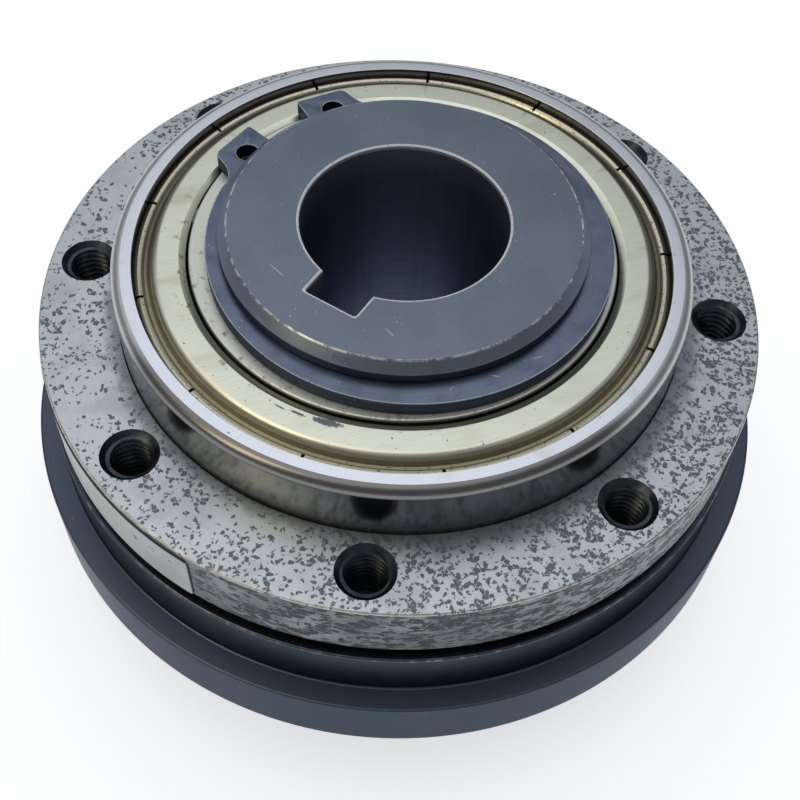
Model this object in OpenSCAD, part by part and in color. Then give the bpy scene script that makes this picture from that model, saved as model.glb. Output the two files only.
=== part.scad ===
// Ball-detent safety clutch for a keyed shaft.
// A ball bearing carries the output flange on the hub. Eight drive balls, held in the hub's
// carrier, drop into pockets under the flange and are pressed up by the trip ring.
// The model stands tripped: the trip ring is down, and the flange turns freely.
// Z is the clutch axis, and the origin is the centre of the hub's rear end.

/* [Hub] */
// Diameter of the shaft bore
shaft_bore_d = 22; // [16:0.5:27]
// Width of the keyway in the bore
key_w = 6; // [4:0.5:8]
// Depth of the keyway beyond the bore
key_depth = 2.8; // [1.5:0.1:3.4]
// Length of the hub's nose beyond the bearing
nose_len = 4; // [3.4:0.1:8]
// How much smaller the nose's radius is than the bearing seat's
nose_relief = 0.45; // [0.1:0.05:0.7]
// Chamfer at the nose's outer edge
nose_chamfer = 1; // [0.3:0.1:1.3]
// Chamfer at both ends of the bore
bore_chamfer = 0.3; // [0.1:0.1:1]
// Length of the hub behind the adjusting nut
hub_tail = 1.57; // [1.2:0.1:12]

/* [Bearing] */
// Bore diameter of the bearing
bearing_bore_d = 40; // [36:0.5:48]
// Outer diameter of the bearing
bearing_od = 62; // [56:0.5:75]
// Width of the bearing
bearing_w = 12; // [11:0.5:16]
// Height that the bearing stands out of the flange
bearing_stand = 7.25; // [5:0.05:8.5]
// Corner radius of the outer ring
bearing_corner = 1.2; // [0.3:0.1:1.5]
// Number of balls in the bearing
bearing_balls_n = 13; // [9:1:13]
// Number of notches in the shield's bead
shield_notches = 13; // [6:1:24]
// Width of a notch
notch_w = 0.34; // [0.2:0.02:0.8]
// Sheet thickness of the shields
shield_t = 0.35; // [0.25:0.05:0.5]

/* [Retaining ring] */
// Width of the ring groove
groove_w = 1.85; // [1.3:0.05:2.4]
// Depth of the ring groove below the bearing seat
groove_depth = 1.25; // [0.8:0.05:1.8]
// Radial width of the ring opposite its lugs
snap_wide = 3.7; // [2.8:0.1:4.2]
// Radial width of the ring beside its lugs
snap_narrow = 1.5; // [1:0.1:2.2]
// Radial height of the lugs above the groove
snap_lug = 5; // [4.6:0.1:5.6]
// Direction of the gap between the lugs, in degrees
snap_gap_dir = 161.9; // [0:0.1:360]
// Direction of the ring's widest place, in degrees
snap_wide_dir = 331; // [320:0.5:350]
// Diameter of the plier holes
snap_hole_d = 2.5; // [1.5:0.1:2.6]

/* [Output flange] */
// Radial width of the flange outside the bearing
flange_rim = 8.6; // [7.6:0.1:14]
// Thickness of the flange at its rim
flange_t = 7.77; // [6:0.05:12]
// How far the ball track stands below the rim
track_drop = 1.23; // [0.8:0.01:2]
// Edge chamfer of the flange
flange_chamfer = 0.23; // [0.05:0.01:0.6]
// Number of bolt holes
bolts_n = 8; // [4:1:12]
// Diameter of the bolt holes
bolt_d = 5; // [3:0.1:6]
// Diameter of the countersinks
countersink_d = 6.1; // [5.1:0.1:7]
// Direction of the first bolt hole, in degrees
bolt_dir = 27; // [0:0.5:45]
// Length of the label along the rim
label_len = 55; // [20:1:80]
// Height of the bare rim above the label
label_drop = 1.1; // [0.3:0.1:3]
// Thickness of the label
label_t = 0.12; // [0.05:0.01:0.3]
// Direction of the label's right-hand end, in degrees
label_end_dir = 271.5; // [0:0.5:360]

/* [Detent] */
// Number of drive balls
drive_balls_n = 8; // [4:1:10]
// Diameter of the drive balls
drive_ball_d = 8; // [6.6:0.1:9.6]
// How much larger in radius the drive balls' circle is than the bearing balls'
detent_over = 2.5; // [1.5:0.1:4]
// Gap between the carrier and the track washer when the clutch is engaged
carrier_gap = 1.14; // [0.3:0.01:2.5]
// Depth of the ball pockets in the flange
pocket_depth = 0.9; // [0.5:0.05:1.1]
// Travel of the trip ring between tripped and engaged
trip_travel = 1; // [0.95:0.05:1.6]
// Thickness of the hardened track washer
track_washer_t = 1.2; // [0.8:0.1:2]
// Diameter of the guide pins
guide_pin_d = 4; // [3:0.1:5]
// Number of guide pins
guide_pins_n = 4; // [2:1:4]

/* [Trip ring] */
// Gap between the flange's rim and the skirt when the clutch is engaged
rim_gap = 0.63; // [0.3:0.01:1.5]
// How much the skirt is larger in radius than the flange
skirt_over = 0.45; // [0:0.05:1.5]
// Height of the skirt above the disc
skirt_h = 6.65; // [5.6:0.05:9]
// How much the disc is larger in radius than the skirt
disc_over = 2.62; // [1.5:0.02:8]
// Thickness of the disc at its rim
disc_t = 7.71; // [6:0.01:12]
// Chamfer of the disc's edges
disc_chamfer = 0.35; // [0.1:0.05:0.8]
// Thickness of the web that carries the track washer
web_t = 3.04; // [2:0.01:4]

/* [Springs and nut] */
// Thickness of a disc spring
spring_t = 1.25; // [0.8:0.05:1.6]
// Cone height of a disc spring when the clutch is tripped
spring_cone = 0.6; // [0.4:0.05:1]
// Thickness of the spring seat washer
seat_t = 2; // [1.5:0.1:3]
// Height of the adjusting nut
nut_h = 7; // [6.4:0.1:12]
// Number of spanner slots in the nut
nut_slots_n = 4; // [2:1:4]
// Width of a spanner slot
nut_slot_w = 6; // [4:0.5:8]
// Depth of a spanner slot
nut_slot_depth = 2.5; // [1.5:0.1:3]
// Number of set screws in the nut
lock_n = 3; // [2:1:3]
// Diameter of the set screws
lock_d = 4; // [3:0.1:4.6]

/* [Clearances] */
// Clearance between two faces that stand on each other
touch = 0.02; // [0.01:0.01:0.05]
// Radial clearance of a seated fit
seat_gap = 0.01; // [0.01:0.005:0.02]
// Radial clearance of a running fit
run_gap = 0.05; // [0.02:0.01:0.1]
// Free space between parts that pass each other
pass_gap = 0.4; // [0.3:0.05:0.6]

/* [Hidden] */
$fn = 96;
eps = 0.01;

// Bearing cage
cage_t = 0.7;
cage_gap = 0.1;
rivet_r = 0.6;

// Radii of the bearing. Its balls fill the section or the width, whichever gives less room
seat_r = bearing_bore_d / 2;
od_r = bearing_od / 2;
section = od_r - seat_r;
pitch_r = (seat_r + od_r) / 2;
shield_recess = 0.1;
ball_room = bearing_w / 2 - shield_recess - shield_t - pass_gap - cage_t - cage_gap;
bearing_ball_r = min(section * 0.3247, ball_room);
race_depth = bearing_ball_r * 0.33;
race_gap = 0.03;
inner_shoulder_r = pitch_r - bearing_ball_r - race_gap + race_depth;
outer_shoulder_r = pitch_r + bearing_ball_r + race_gap - race_depth;
// The land beside the balls' path sets the widths of the cage and of the shields' steps
land_w = outer_shoulder_r - pitch_r;
cage_half_w = land_w * 0.545;
shield_seat_r = outer_shoulder_r + land_w * 0.354;
shield_seat_depth = bearing_w * 0.17;

// Heights of the bearing, from the flange's face at 0
z_bearing_top = bearing_stand;
z_bearing_bottom = bearing_stand - bearing_w;
z_bearing_mid = bearing_stand - bearing_w / 2;

// Hub, whose bearing shoulder and guide stand out beyond the bearing seat
shoulder_step = 2;
guide_step = 1;
bore_r = shaft_bore_d / 2;
nose_r = seat_r - nose_relief;
groove_r = seat_r - groove_depth;
shoulder_r = seat_r + shoulder_step;
guide_r = seat_r + guide_step;
thread_r = seat_r;
z_nose = z_bearing_top + nose_len;

// Detent. The track lies below the rim and leaves the bearing's seat its floor
seat_relief = 0.6;
seat_floor = 1.4;
track_land = 2.3;
carrier_lip = 0.6;
drive_ball_r = drive_ball_d / 2;
detent_r = pitch_r + detent_over;
track_out_r = detent_r + drive_ball_r + pass_gap;
track_in_r = shoulder_r + track_land;
carrier_r = track_out_r + carrier_lip;
z_rim_bottom = -flange_t;
z_flange_seat = z_bearing_bottom - touch;
z_track = min(z_rim_bottom - track_drop, z_flange_seat - seat_relief - seat_floor);
z_ball_engaged = z_track + pocket_depth - drive_ball_r - touch;
z_ball = z_ball_engaged - trip_travel;
z_carrier_top = z_track - pass_gap;
z_carrier_bottom = z_ball_engaged - drive_ball_r - touch + carrier_gap;
flange_r = od_r + flange_rim;
bolt_r = od_r + flange_rim / 2 - 0.05;

// Trip ring
skirt_r = flange_r + skirt_over;
skirt_in_r = carrier_r + 3 * pass_gap;
disc_r = skirt_r + disc_over;
z_skirt_top = z_rim_bottom - rim_gap - trip_travel;
z_disc_top = z_skirt_top - skirt_h;
z_disc_bottom = z_disc_top - disc_t;
z_washer_top = z_ball - drive_ball_r - touch;
z_web_top = z_washer_top - track_washer_t - touch;
z_web_bottom = z_web_top - web_t;

// Guide pins
pin_cover = 1.12;
guide_pin_r = guide_pin_d / 2;
z_pin_bottom = z_web_bottom + trip_travel + pass_gap / 2;
z_pin_top = z_carrier_top - pin_cover;

// Springs, seat and nut
spring_in_r = guide_r + pass_gap;
spring_out_r = detent_r + 2;
z_spring_top = z_web_bottom - touch;
z_spring_mid = z_spring_top - spring_t - spring_cone;
z_spring_bottom = z_spring_mid - touch - spring_t - spring_cone;
z_seat_top = z_spring_bottom - touch;
z_seat_bottom = z_seat_top - seat_t;
z_nut_top = z_seat_bottom - touch;
z_nut_bottom = z_nut_top - nut_h;
guide_lift = 1.16;
z_guide_end = z_seat_top + guide_lift;
z_hub_end = z_nut_bottom - hub_tail;
nut_r = spring_out_r - 1;
lock_r = lock_d / 2;
pad_len = 2.4;
screw_len = (nut_r - thread_r) * 0.54;
socket_w = lock_d / 2;

// Retaining ring
snap_t = groove_w - 0.1;
snap_in_r = groove_r + seat_gap;
snap_out_r = snap_in_r + (snap_wide + snap_narrow) / 2;
snap_offset = (snap_wide - snap_narrow) / 2;
z_snap = z_bearing_top + (groove_w - snap_t) / 2;
snap_gap_half = 8;
snap_hole_r = nose_r + 0.15 + snap_hole_d / 2;

// Puts a child drawn from the flange's face at its height above the hub's rear end
module lift() {
    translate([0, 0, -z_hub_end]) children();
}

// Repeats a child n times about the axis, the first one turned by start degrees
module around(n, start = 0) {
    for (i = [0 : n - 1]) {
        rotate([0, 0, start + i * 360 / n]) children();
    }
}

// Puts a child at each guide pin, midway between two drive balls
module at_pins() {
    for (i = [0 : guide_pins_n - 1]) {
        rotate([0, 0, (0.5 + floor(i * drive_balls_n / guide_pins_n)) * 360 / drive_balls_n])
            translate([detent_r, 0, 0]) children();
    }
}

// Solid of revolution of an outline of [radius, height] points
module turned(outline) {
    rotate_extrude() polygon(outline);
}

// Ring of rectangular section
module ring(r_in, r_out, z_low, z_high) {
    translate([0, 0, z_low]) difference() {
        cylinder(r = r_out, h = z_high - z_low);
        translate([0, 0, -1]) cylinder(r = r_in, h = z_high - z_low + 2);
    }
}

// Balls on a circle
module ball_row(n, r_circle, r_ball, z) {
    around(n) translate([r_circle, 0, z]) sphere(r = r_ball, $fn = 48);
}

// Straight round pin or hole along the axis
module pin(r, z_low, z_high) {
    translate([0, 0, z_low]) cylinder(r = r, h = z_high - z_low, $fn = 48);
}

// Pins or holes on a circle
module pin_row(n, start, r_circle, r, z_low, z_high) {
    around(n, start) translate([r_circle, 0, 0]) pin(r, z_low, z_high);
}

module hub() {
    color("#4d545f") lift() difference() {
        turned([
            [bore_r, z_hub_end + bore_chamfer],
            [bore_r + bore_chamfer, z_hub_end],
            [thread_r - 1, z_hub_end],
            [thread_r, z_hub_end + 1],
            [thread_r, z_guide_end],
            [guide_r - 0.3, z_guide_end],
            [guide_r, z_guide_end + 0.3],
            [guide_r, z_carrier_bottom],
            [carrier_r - 0.4, z_carrier_bottom],
            [carrier_r, z_carrier_bottom + 0.4],
            [carrier_r, z_carrier_top - 0.4],
            [carrier_r - 0.4, z_carrier_top],
            [shoulder_r, z_carrier_top],
            [shoulder_r, z_bearing_bottom - touch],
            [seat_r - seat_gap, z_bearing_bottom - touch],
            [seat_r - seat_gap, z_bearing_top],
            [groove_r, z_bearing_top],
            [groove_r, z_bearing_top + groove_w],
            [nose_r, z_bearing_top + groove_w],
            [nose_r, z_nose - nose_chamfer],
            [nose_r - nose_chamfer, z_nose],
            [bore_r + bore_chamfer, z_nose],
            [bore_r, z_nose - bore_chamfer]
        ]);
        // Keyway
        translate([-key_w / 2, -bore_r - key_depth, z_hub_end - 1])
            cube([key_w, bore_r + key_depth, z_nose - z_hub_end + 2]);
        // Holes that hold the drive balls
        pin_row(drive_balls_n, 0, detent_r, drive_ball_r + run_gap, z_carrier_bottom - 1, z_carrier_top + 1);
        // Blind holes for the guide pins
        at_pins() pin(guide_pin_r + seat_gap, z_carrier_bottom - 1, z_pin_top + touch);
    }
}

// Half of a lug's outline, as polar points about the axis, side is 1 or -1
function lug_outline(side) = [
    for (p = [
        [snap_gap_half, snap_in_r],
        [snap_gap_half, snap_in_r + snap_lug - 0.25],
        [snap_gap_half + 0.8, snap_in_r + snap_lug],
        [21, snap_in_r + snap_lug],
        [22.3, snap_in_r + snap_lug - 0.35],
        [24.6, snap_hole_r + 0.9],
        [28, snap_in_r + snap_narrow + 0.5],
        [31, snap_in_r + snap_narrow + 0.2],
        [31, snap_in_r]
    ]) p[1] * [cos(snap_gap_dir + side * p[0]), sin(snap_gap_dir + side * p[0])]
];

module retaining_ring() {
    color("#565d6b") lift() translate([0, 0, z_snap]) difference() {
        union() {
            difference() {
                translate(snap_offset * [cos(snap_wide_dir), sin(snap_wide_dir), 0])
                    cylinder(r = snap_out_r, h = snap_t);
                // Gap between the lugs
                rotate([0, 0, snap_gap_dir]) translate([0, 0, -1]) linear_extrude(snap_t + 2)
                    polygon([
                        [0, 0],
                        40 * [cos(snap_gap_half + 4), sin(snap_gap_half + 4)],
                        40 * [cos(snap_gap_half + 4), -sin(snap_gap_half + 4)]
                    ]);
            }
            for (side = [-1, 1]) {
                linear_extrude(snap_t) polygon(lug_outline(side));
            }
        }
        translate([0, 0, -1]) cylinder(r = snap_in_r, h = snap_t + 2);
        for (side = [-1, 1]) {
            rotate([0, 0, snap_gap_dir + side * 16.5]) translate([snap_hole_r, 0, -1])
                cylinder(d = snap_hole_d, h = snap_t + 2, $fn = 48);
        }
    }
}

// Groove that the bearing's balls run in
module race_groove() {
    rotate_extrude() translate([pitch_r, z_bearing_mid]) circle(r = bearing_ball_r + race_gap, $fn = 48);
}

module bearing_inner_ring() {
    corner = 0.6;
    color("#c9ccc4") lift() difference() {
        turned([
            [seat_r + corner, z_bearing_bottom],
            [inner_shoulder_r - 0.3, z_bearing_bottom],
            [inner_shoulder_r, z_bearing_bottom + 0.3],
            [inner_shoulder_r, z_bearing_top - 0.3],
            [inner_shoulder_r - 0.3, z_bearing_top],
            [seat_r + corner, z_bearing_top],
            [seat_r, z_bearing_top - corner],
            [seat_r, z_bearing_bottom + corner]
        ]);
        race_groove();
    }
}

module bearing_outer_ring() {
    arc = [for (a = [0 : 15 : 90]) [cos(a), sin(a)]];
    color("#b9c0cc") lift() difference() {
        rotate_extrude() polygon(concat(
            [for (p = arc) [od_r - bearing_corner + bearing_corner * p[0],
                z_bearing_top - bearing_corner + bearing_corner * p[1]]],
            [
                [shield_seat_r, z_bearing_top],
                [shield_seat_r, z_bearing_top - shield_seat_depth],
                [outer_shoulder_r, z_bearing_top - shield_seat_depth],
                [outer_shoulder_r, z_bearing_bottom + shield_seat_depth],
                [shield_seat_r, z_bearing_bottom + shield_seat_depth],
                [shield_seat_r, z_bearing_bottom]
            ],
            [for (p = arc) [od_r - bearing_corner + bearing_corner * p[1],
                z_bearing_bottom + bearing_corner - bearing_corner * p[0]]]
        ));
        race_groove();
    }
}

module bearing_balls() {
    color("#d5d8dc") lift() ball_row(bearing_balls_n, pitch_r, bearing_ball_r, z_bearing_mid);
}

// One pressed half of the cage, up is 1 for the upper half and -1 for the lower
module cage_half(up) {
    pocket_r = bearing_ball_r + cage_gap;
    z_low = up > 0 ? z_bearing_mid + touch / 2 : z_bearing_mid - pocket_r - cage_t - 1;
    z_high = up > 0 ? z_bearing_mid + pocket_r + cage_t + 1 : z_bearing_mid - touch / 2;
    land_low = up > 0 ? z_low : z_high - cage_t;
    difference() {
        intersection() {
            union() {
                ring(pitch_r - cage_half_w, pitch_r + cage_half_w, land_low, land_low + cage_t);
                ball_row(bearing_balls_n, pitch_r, pocket_r + cage_t, z_bearing_mid);
            }
            ring(pitch_r - cage_half_w, pitch_r + cage_half_w, z_low, z_high);
        }
        ball_row(bearing_balls_n, pitch_r, pocket_r, z_bearing_mid);
        pin_row(bearing_balls_n, 180 / bearing_balls_n, pitch_r, rivet_r + seat_gap,
            z_bearing_mid - 5, z_bearing_mid + 5);
    }
}

module bearing_cage_upper() {
    color("#9a9c98") lift() cage_half(1);
}

module bearing_cage_lower() {
    color("#9a9c98") lift() cage_half(-1);
}

module bearing_cage_rivets() {
    head = cage_t + touch * 1.5;
    color("#a8aaa6") lift() {
        pin_row(bearing_balls_n, 180 / bearing_balls_n, pitch_r, rivet_r,
            z_bearing_mid - head - eps, z_bearing_mid + head + eps);
        pin_row(bearing_balls_n, 180 / bearing_balls_n, pitch_r, rivet_r * 1.7,
            z_bearing_mid + head, z_bearing_mid + head + 0.4);
        pin_row(bearing_balls_n, 180 / bearing_balls_n, pitch_r, rivet_r * 1.7,
            z_bearing_mid - head - 0.4, z_bearing_mid - head);
    }
}

// Outline of a shield's pressed section, drawn from the bearing's face down
// The sheet runs flat, rolls over into a trough and ends in the crimped bead
function shield_face() = let (
    gap_r = inner_shoulder_r + land_w * 0.25,
    top = -shield_recess,
    flat_r = outer_shoulder_r - land_w * 0.66
) [
    [gap_r, top],
    [flat_r, top],
    [flat_r + land_w * 0.136, top - 0.1],
    [flat_r + land_w * 0.25, top - 0.45],
    [flat_r + land_w * 0.318, top - 1],
    [outer_shoulder_r - land_w * 0.204, top - 1.12],
    [outer_shoulder_r - land_w * 0.091, top - 1.02],
    [outer_shoulder_r + land_w * 0.0545, top - 0.8],
    [shield_seat_r - land_w * 0.091, top - 1.05],
    [shield_seat_r - 2 * seat_gap, top - 1.4]
];

module shield() {
    face = shield_face();
    last = len(face) - 1;
    foot = -shield_seat_depth + touch;
    difference() {
        turned(concat(
            face,
            [
                [face[last][0], foot],
                [outer_shoulder_r + land_w * 0.045, foot],
                [outer_shoulder_r - land_w * 0.18, face[5][1] - shield_t]
            ],
            [[face[4][0] - shield_t * 0.5, face[4][1] - shield_t]],
            [[face[3][0] - shield_t, face[3][1] - shield_t * 0.4]],
            [[face[1][0], face[1][1] - shield_t], [face[0][0], face[0][1] - shield_t]]
        ));
        // Notches across the bead
        around(shield_notches, 5.7) translate([outer_shoulder_r - land_w * 0.136, -notch_w / 2, foot - 1])
            cube([land_w * 0.9, notch_w, 4]);
    }
}

module bearing_shield_upper() {
    color("#d3d4bf") lift() translate([0, 0, z_bearing_top]) shield();
}

module bearing_shield_lower() {
    color("#d3d4bf") lift() translate([0, 0, z_bearing_bottom]) mirror([0, 0, 1]) shield();
}

module drive_flange() {
    relief_r = shield_seat_r + 0.12;
    color("#aab1be") lift() difference() {
        turned([
            [od_r + seat_gap, 0],
            [flange_r - flange_chamfer, 0],
            [flange_r, -flange_chamfer],
            [flange_r, z_rim_bottom + flange_chamfer],
            [flange_r - flange_chamfer, z_rim_bottom],
            [track_out_r, z_rim_bottom],
            [track_out_r, z_track + 0.3],
            [track_out_r - 0.3, z_track],
            [track_in_r, z_track],
            [track_in_r, z_flange_seat - seat_relief],
            [relief_r, z_flange_seat - seat_relief],
            [relief_r, z_flange_seat],
            [od_r + seat_gap, z_flange_seat]
        ]);
        // Tapped holes with their countersinks
        pin_row(bolts_n, bolt_dir, bolt_r, bolt_d / 2, z_track - 1, 1);
        around(bolts_n, bolt_dir) translate([bolt_r, 0, -(countersink_d - bolt_d) / 2])
            cylinder(d1 = bolt_d, d2 = countersink_d + 2, h = (countersink_d - bolt_d) / 2 + 1, $fn = 48);
        // Pockets for the drive balls
        ball_row(drive_balls_n, detent_r, drive_ball_r + run_gap, z_ball_engaged);
    }
}

module flange_label() {
    half = label_len / flange_r * 90 / PI;
    z_label = z_rim_bottom + 0.07;
    label_h = -label_drop - z_label;
    color("#bcc5bd") lift() intersection() {
        ring(flange_r + touch / 2, flange_r + touch / 2 + label_t, z_rim_bottom - 1, 1);
        rotate([0, 0, label_end_dir - half]) translate([0, 0, z_label]) linear_extrude(label_h)
            polygon([
                [0, 0],
                2 * flange_r * [cos(half), -sin(half)],
                [4 * flange_r, 0],
                2 * flange_r * [cos(half), sin(half)]
            ]);
    }
}

module drive_balls() {
    color("#c8ccd2") lift() ball_row(drive_balls_n, detent_r, drive_ball_r, z_ball);
}

module track_washer() {
    color("#8f949b") lift() difference() {
        ring(shoulder_r + 1, carrier_r + pass_gap / 2, z_washer_top - track_washer_t, z_washer_top);
        at_pins() pin(guide_pin_r + 0.3, z_web_bottom, z_washer_top + 1);
    }
}

module trip_ring() {
    spring_room_r = spring_out_r + 1.5;
    color("#2f343c") lift() difference() {
        turned([
            [skirt_in_r, z_skirt_top],
            [skirt_r - disc_chamfer * 0.8, z_skirt_top],
            [skirt_r, z_skirt_top - disc_chamfer * 0.8],
            [skirt_r, z_disc_top],
            [disc_r - disc_chamfer, z_disc_top],
            [disc_r, z_disc_top - disc_chamfer],
            [disc_r, z_disc_bottom + disc_chamfer],
            [disc_r - disc_chamfer, z_disc_bottom],
            [spring_room_r, z_disc_bottom],
            [spring_room_r, z_web_bottom],
            [guide_r + run_gap, z_web_bottom],
            [guide_r + run_gap, z_web_top],
            [skirt_in_r, z_web_top]
        ]);
        at_pins() pin(guide_pin_r + run_gap, z_web_bottom - 1, z_web_top + 1);
    }
}

module guide_pins() {
    color("#9da2a8") lift() at_pins() pin(guide_pin_r, z_pin_bottom, z_pin_top);
}

// Disc spring whose high edge is the inner one if inner_up is true
module disc_spring(inner_up, z_high) {
    z_in = inner_up ? z_high : z_high - spring_cone;
    z_out = inner_up ? z_high - spring_cone : z_high;
    turned([
        [spring_in_r, z_in],
        [spring_out_r, z_out],
        [spring_out_r, z_out - spring_t],
        [spring_in_r, z_in - spring_t]
    ]);
}

module disc_spring_upper() {
    color("#6b7078") lift() disc_spring(true, z_spring_top);
}

module disc_spring_lower() {
    color("#6b7078") lift() disc_spring(false, z_spring_mid - touch);
}

module spring_seat_washer() {
    color("#7d828a") lift() ring(thread_r + run_gap, nut_r, z_seat_bottom, z_seat_top);
}

// Radial holes or bars through the nut's wall, from radius r1 to r2
module lock_row(r, r1, r2) {
    around(lock_n, 45) translate([r1, 0, (z_nut_top + z_nut_bottom) / 2]) rotate([0, 90, 0])
        cylinder(r = r, h = r2 - r1, $fn = 48);
}

module adjusting_nut() {
    color("#3a3f47") lift() difference() {
        turned([
            [thread_r + run_gap, z_nut_bottom + 0.4],
            [thread_r + run_gap + 0.4, z_nut_bottom],
            [nut_r - 0.6, z_nut_bottom],
            [nut_r, z_nut_bottom + 0.6],
            [nut_r, z_nut_top - 0.3],
            [nut_r - 0.3, z_nut_top],
            [thread_r + run_gap, z_nut_top]
        ]);
        around(nut_slots_n) translate([nut_r - nut_slot_depth, -nut_slot_w / 2, z_nut_bottom - 1])
            cube([nut_slot_depth + 1, nut_slot_w, nut_h + 2]);
        lock_row(lock_r + run_gap, thread_r - 1, nut_r + 1);
    }
}

module nut_lock_screws() {
    r1 = thread_r + pad_len + 2 * run_gap;
    color("#24272c") lift() difference() {
        lock_row(lock_r, r1, r1 + screw_len);
        // Hexagon sockets
        around(lock_n, 45) translate([r1 + screw_len / 2, 0, (z_nut_top + z_nut_bottom) / 2])
            rotate([0, 90, 0]) cylinder(d = socket_w / cos(30), h = screw_len, $fn = 6);
    }
}

module nut_lock_pads() {
    color("#c9a14a") lift() difference() {
        lock_row(lock_r, thread_r - 1, thread_r + pad_len);
        translate([0, 0, z_hub_end]) cylinder(r = thread_r + run_gap / 2, h = z_nose - z_hub_end);
    }
}

hub();
retaining_ring();
bearing_inner_ring();
bearing_outer_ring();
bearing_balls();
bearing_cage_upper();
bearing_cage_lower();
bearing_cage_rivets();
bearing_shield_upper();
bearing_shield_lower();
drive_flange();
flange_label();
drive_balls();
trip_ring();
track_washer();
guide_pins();
disc_spring_upper();
disc_spring_lower();
spring_seat_washer();
adjusting_nut();
nut_lock_screws();
nut_lock_pads();
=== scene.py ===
import logging
import math
from dataclasses import dataclass
from enum import Enum, IntEnum
from functools import cache

import bmesh
import bpy
from mathutils import Matrix, Vector


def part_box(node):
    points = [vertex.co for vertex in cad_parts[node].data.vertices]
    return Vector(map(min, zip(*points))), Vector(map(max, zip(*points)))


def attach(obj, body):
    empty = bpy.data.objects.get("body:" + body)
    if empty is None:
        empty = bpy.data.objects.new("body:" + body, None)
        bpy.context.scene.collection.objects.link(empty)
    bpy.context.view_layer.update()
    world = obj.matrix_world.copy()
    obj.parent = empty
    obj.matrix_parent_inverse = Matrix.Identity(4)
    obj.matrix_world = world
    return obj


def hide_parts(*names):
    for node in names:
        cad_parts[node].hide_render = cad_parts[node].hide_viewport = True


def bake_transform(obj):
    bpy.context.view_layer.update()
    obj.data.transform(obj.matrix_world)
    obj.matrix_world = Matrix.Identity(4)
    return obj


# Ball-detent safety clutch: the looks. All sizes here are in millimetres unless a name says otherwise,
# and Blender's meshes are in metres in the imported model's own frame.
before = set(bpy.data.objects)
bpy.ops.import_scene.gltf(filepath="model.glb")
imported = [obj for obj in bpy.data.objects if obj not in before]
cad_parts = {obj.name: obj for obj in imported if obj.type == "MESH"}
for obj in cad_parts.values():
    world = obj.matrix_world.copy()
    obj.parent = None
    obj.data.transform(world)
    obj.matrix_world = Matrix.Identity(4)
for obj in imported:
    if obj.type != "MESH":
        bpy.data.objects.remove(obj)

MM = 0.001
# Faces that meet at more than this angle have a sharp edge between them.
SHARP_DEG = 32.0
# Steps round the axis, of a turned piece and of one with slots.
TURNED_STEPS = 240
SLOTTED_STEPS = 280
# A corner flatter than this is left alone, and a rounding takes at most this share of each side.
FLAT_DEG = 176.0
ROUNDED_SHARE = 0.48
# Share of a thread's pitch that is flat crest.
CREST_SHARE = 0.2
# What a black oxide skin shows at a glancing angle: less than bare metal does.
OXIDE_GLANCE = "#c4c8d0"
# Direction in plan of the side that the photograph shows in front.
FRONT = (0.4, -0.9)
LOG = logging.getLogger("safety_clutch")


def linear(colour: str) -> tuple[float, float, float, float]:
    """Turns an sRGB hex colour into the linear colour that Blender's sockets take.

    Args:
        colour: six hex digits with a leading hash.

    Returns:
        Linear red, green and blue, with an alpha of 1.
    """
    parts = [int(colour[i:i + 2], 16) / 255 for i in (1, 3, 5)]
    red, green, blue = (c / 12.92 if c <= 0.04045 else ((c + 0.055) / 1.055) ** 2.4 for c in parts)
    return red, green, blue, 1.0


def heights_of(node: str) -> tuple[float, float]:
    """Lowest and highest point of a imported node, in millimetres."""
    low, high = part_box(node)
    return low.z / MM, high.z / MM


def point_at(radius: float, turn: float, z: float = 0.0) -> Vector:
    """Point at a radius, at an angle in radians and at a height."""
    return Vector((radius * math.cos(turn), radius * math.sin(turn), z))


@dataclass(frozen=True)
class Corner:
    """A corner of a turned outline, with the radius of its rounding and the finish of the face after it."""

    r: float
    z: float
    rounding: float = 0.0
    finish: int = 0


def softened(corners: list[Corner], steps: int = 4) -> list[Corner]:
    """Replaces each corner that has a rounding with an arc.

    Args:
        corners: closed outline.
        steps: number of chords in each arc.

    Returns:
        The outline with its arcs.
    """
    out: list[Corner] = []
    for i, corner in enumerate(corners):
        here = Vector((corner.r, corner.z))
        before = Vector((corners[i - 1].r, corners[i - 1].z)) - here
        after = Vector((corners[(i + 1) % len(corners)].r, corners[(i + 1) % len(corners)].z)) - here
        turn = before.angle(after)
        if corner.rounding <= 0 or turn > math.radians(FLAT_DEG):
            out.append(corner)
            continue
        room = ROUNDED_SHARE * min(before.length, after.length)
        reach = min(corner.rounding / math.tan(turn / 2), room)
        radius = reach * math.tan(turn / 2)
        inwards = (before.normalized() + after.normalized()).normalized()
        centre = here + inwards * (radius / math.sin(turn / 2))
        start = here + before.normalized() * reach - centre
        end = here + after.normalized() * reach - centre
        sweep = start.angle(end)
        for k in range(steps + 1):
            share = k / steps
            spoke = (start * math.sin((1 - share) * sweep) + end * math.sin(share * sweep)) / math.sin(sweep)
            point = centre + spoke
            finish = corner.finish if k == steps else corners[i - 1].finish
            out.append(Corner(point.x, point.y, 0.0, finish))
    return out


def even_turn(count: int) -> list[float]:
    """Angles of a full turn in equal steps, in radians."""
    return [math.tau * i / count for i in range(count)]


def put_in_scene(name: str, data: bpy.types.ID) -> bpy.types.Object:
    """Makes an object of mesh, curve, camera or lamp data and links it to the scene."""
    item = bpy.data.objects.new(name, data)
    bpy.context.scene.collection.objects.link(item)
    return item


def evaluated_mesh(item: bpy.types.Object) -> bpy.types.Mesh:
    """Mesh of an object as its modifiers or its curve settings shape it."""
    bpy.context.view_layer.update()
    return bpy.data.meshes.new_from_object(item.evaluated_get(bpy.context.evaluated_depsgraph_get()))


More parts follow.
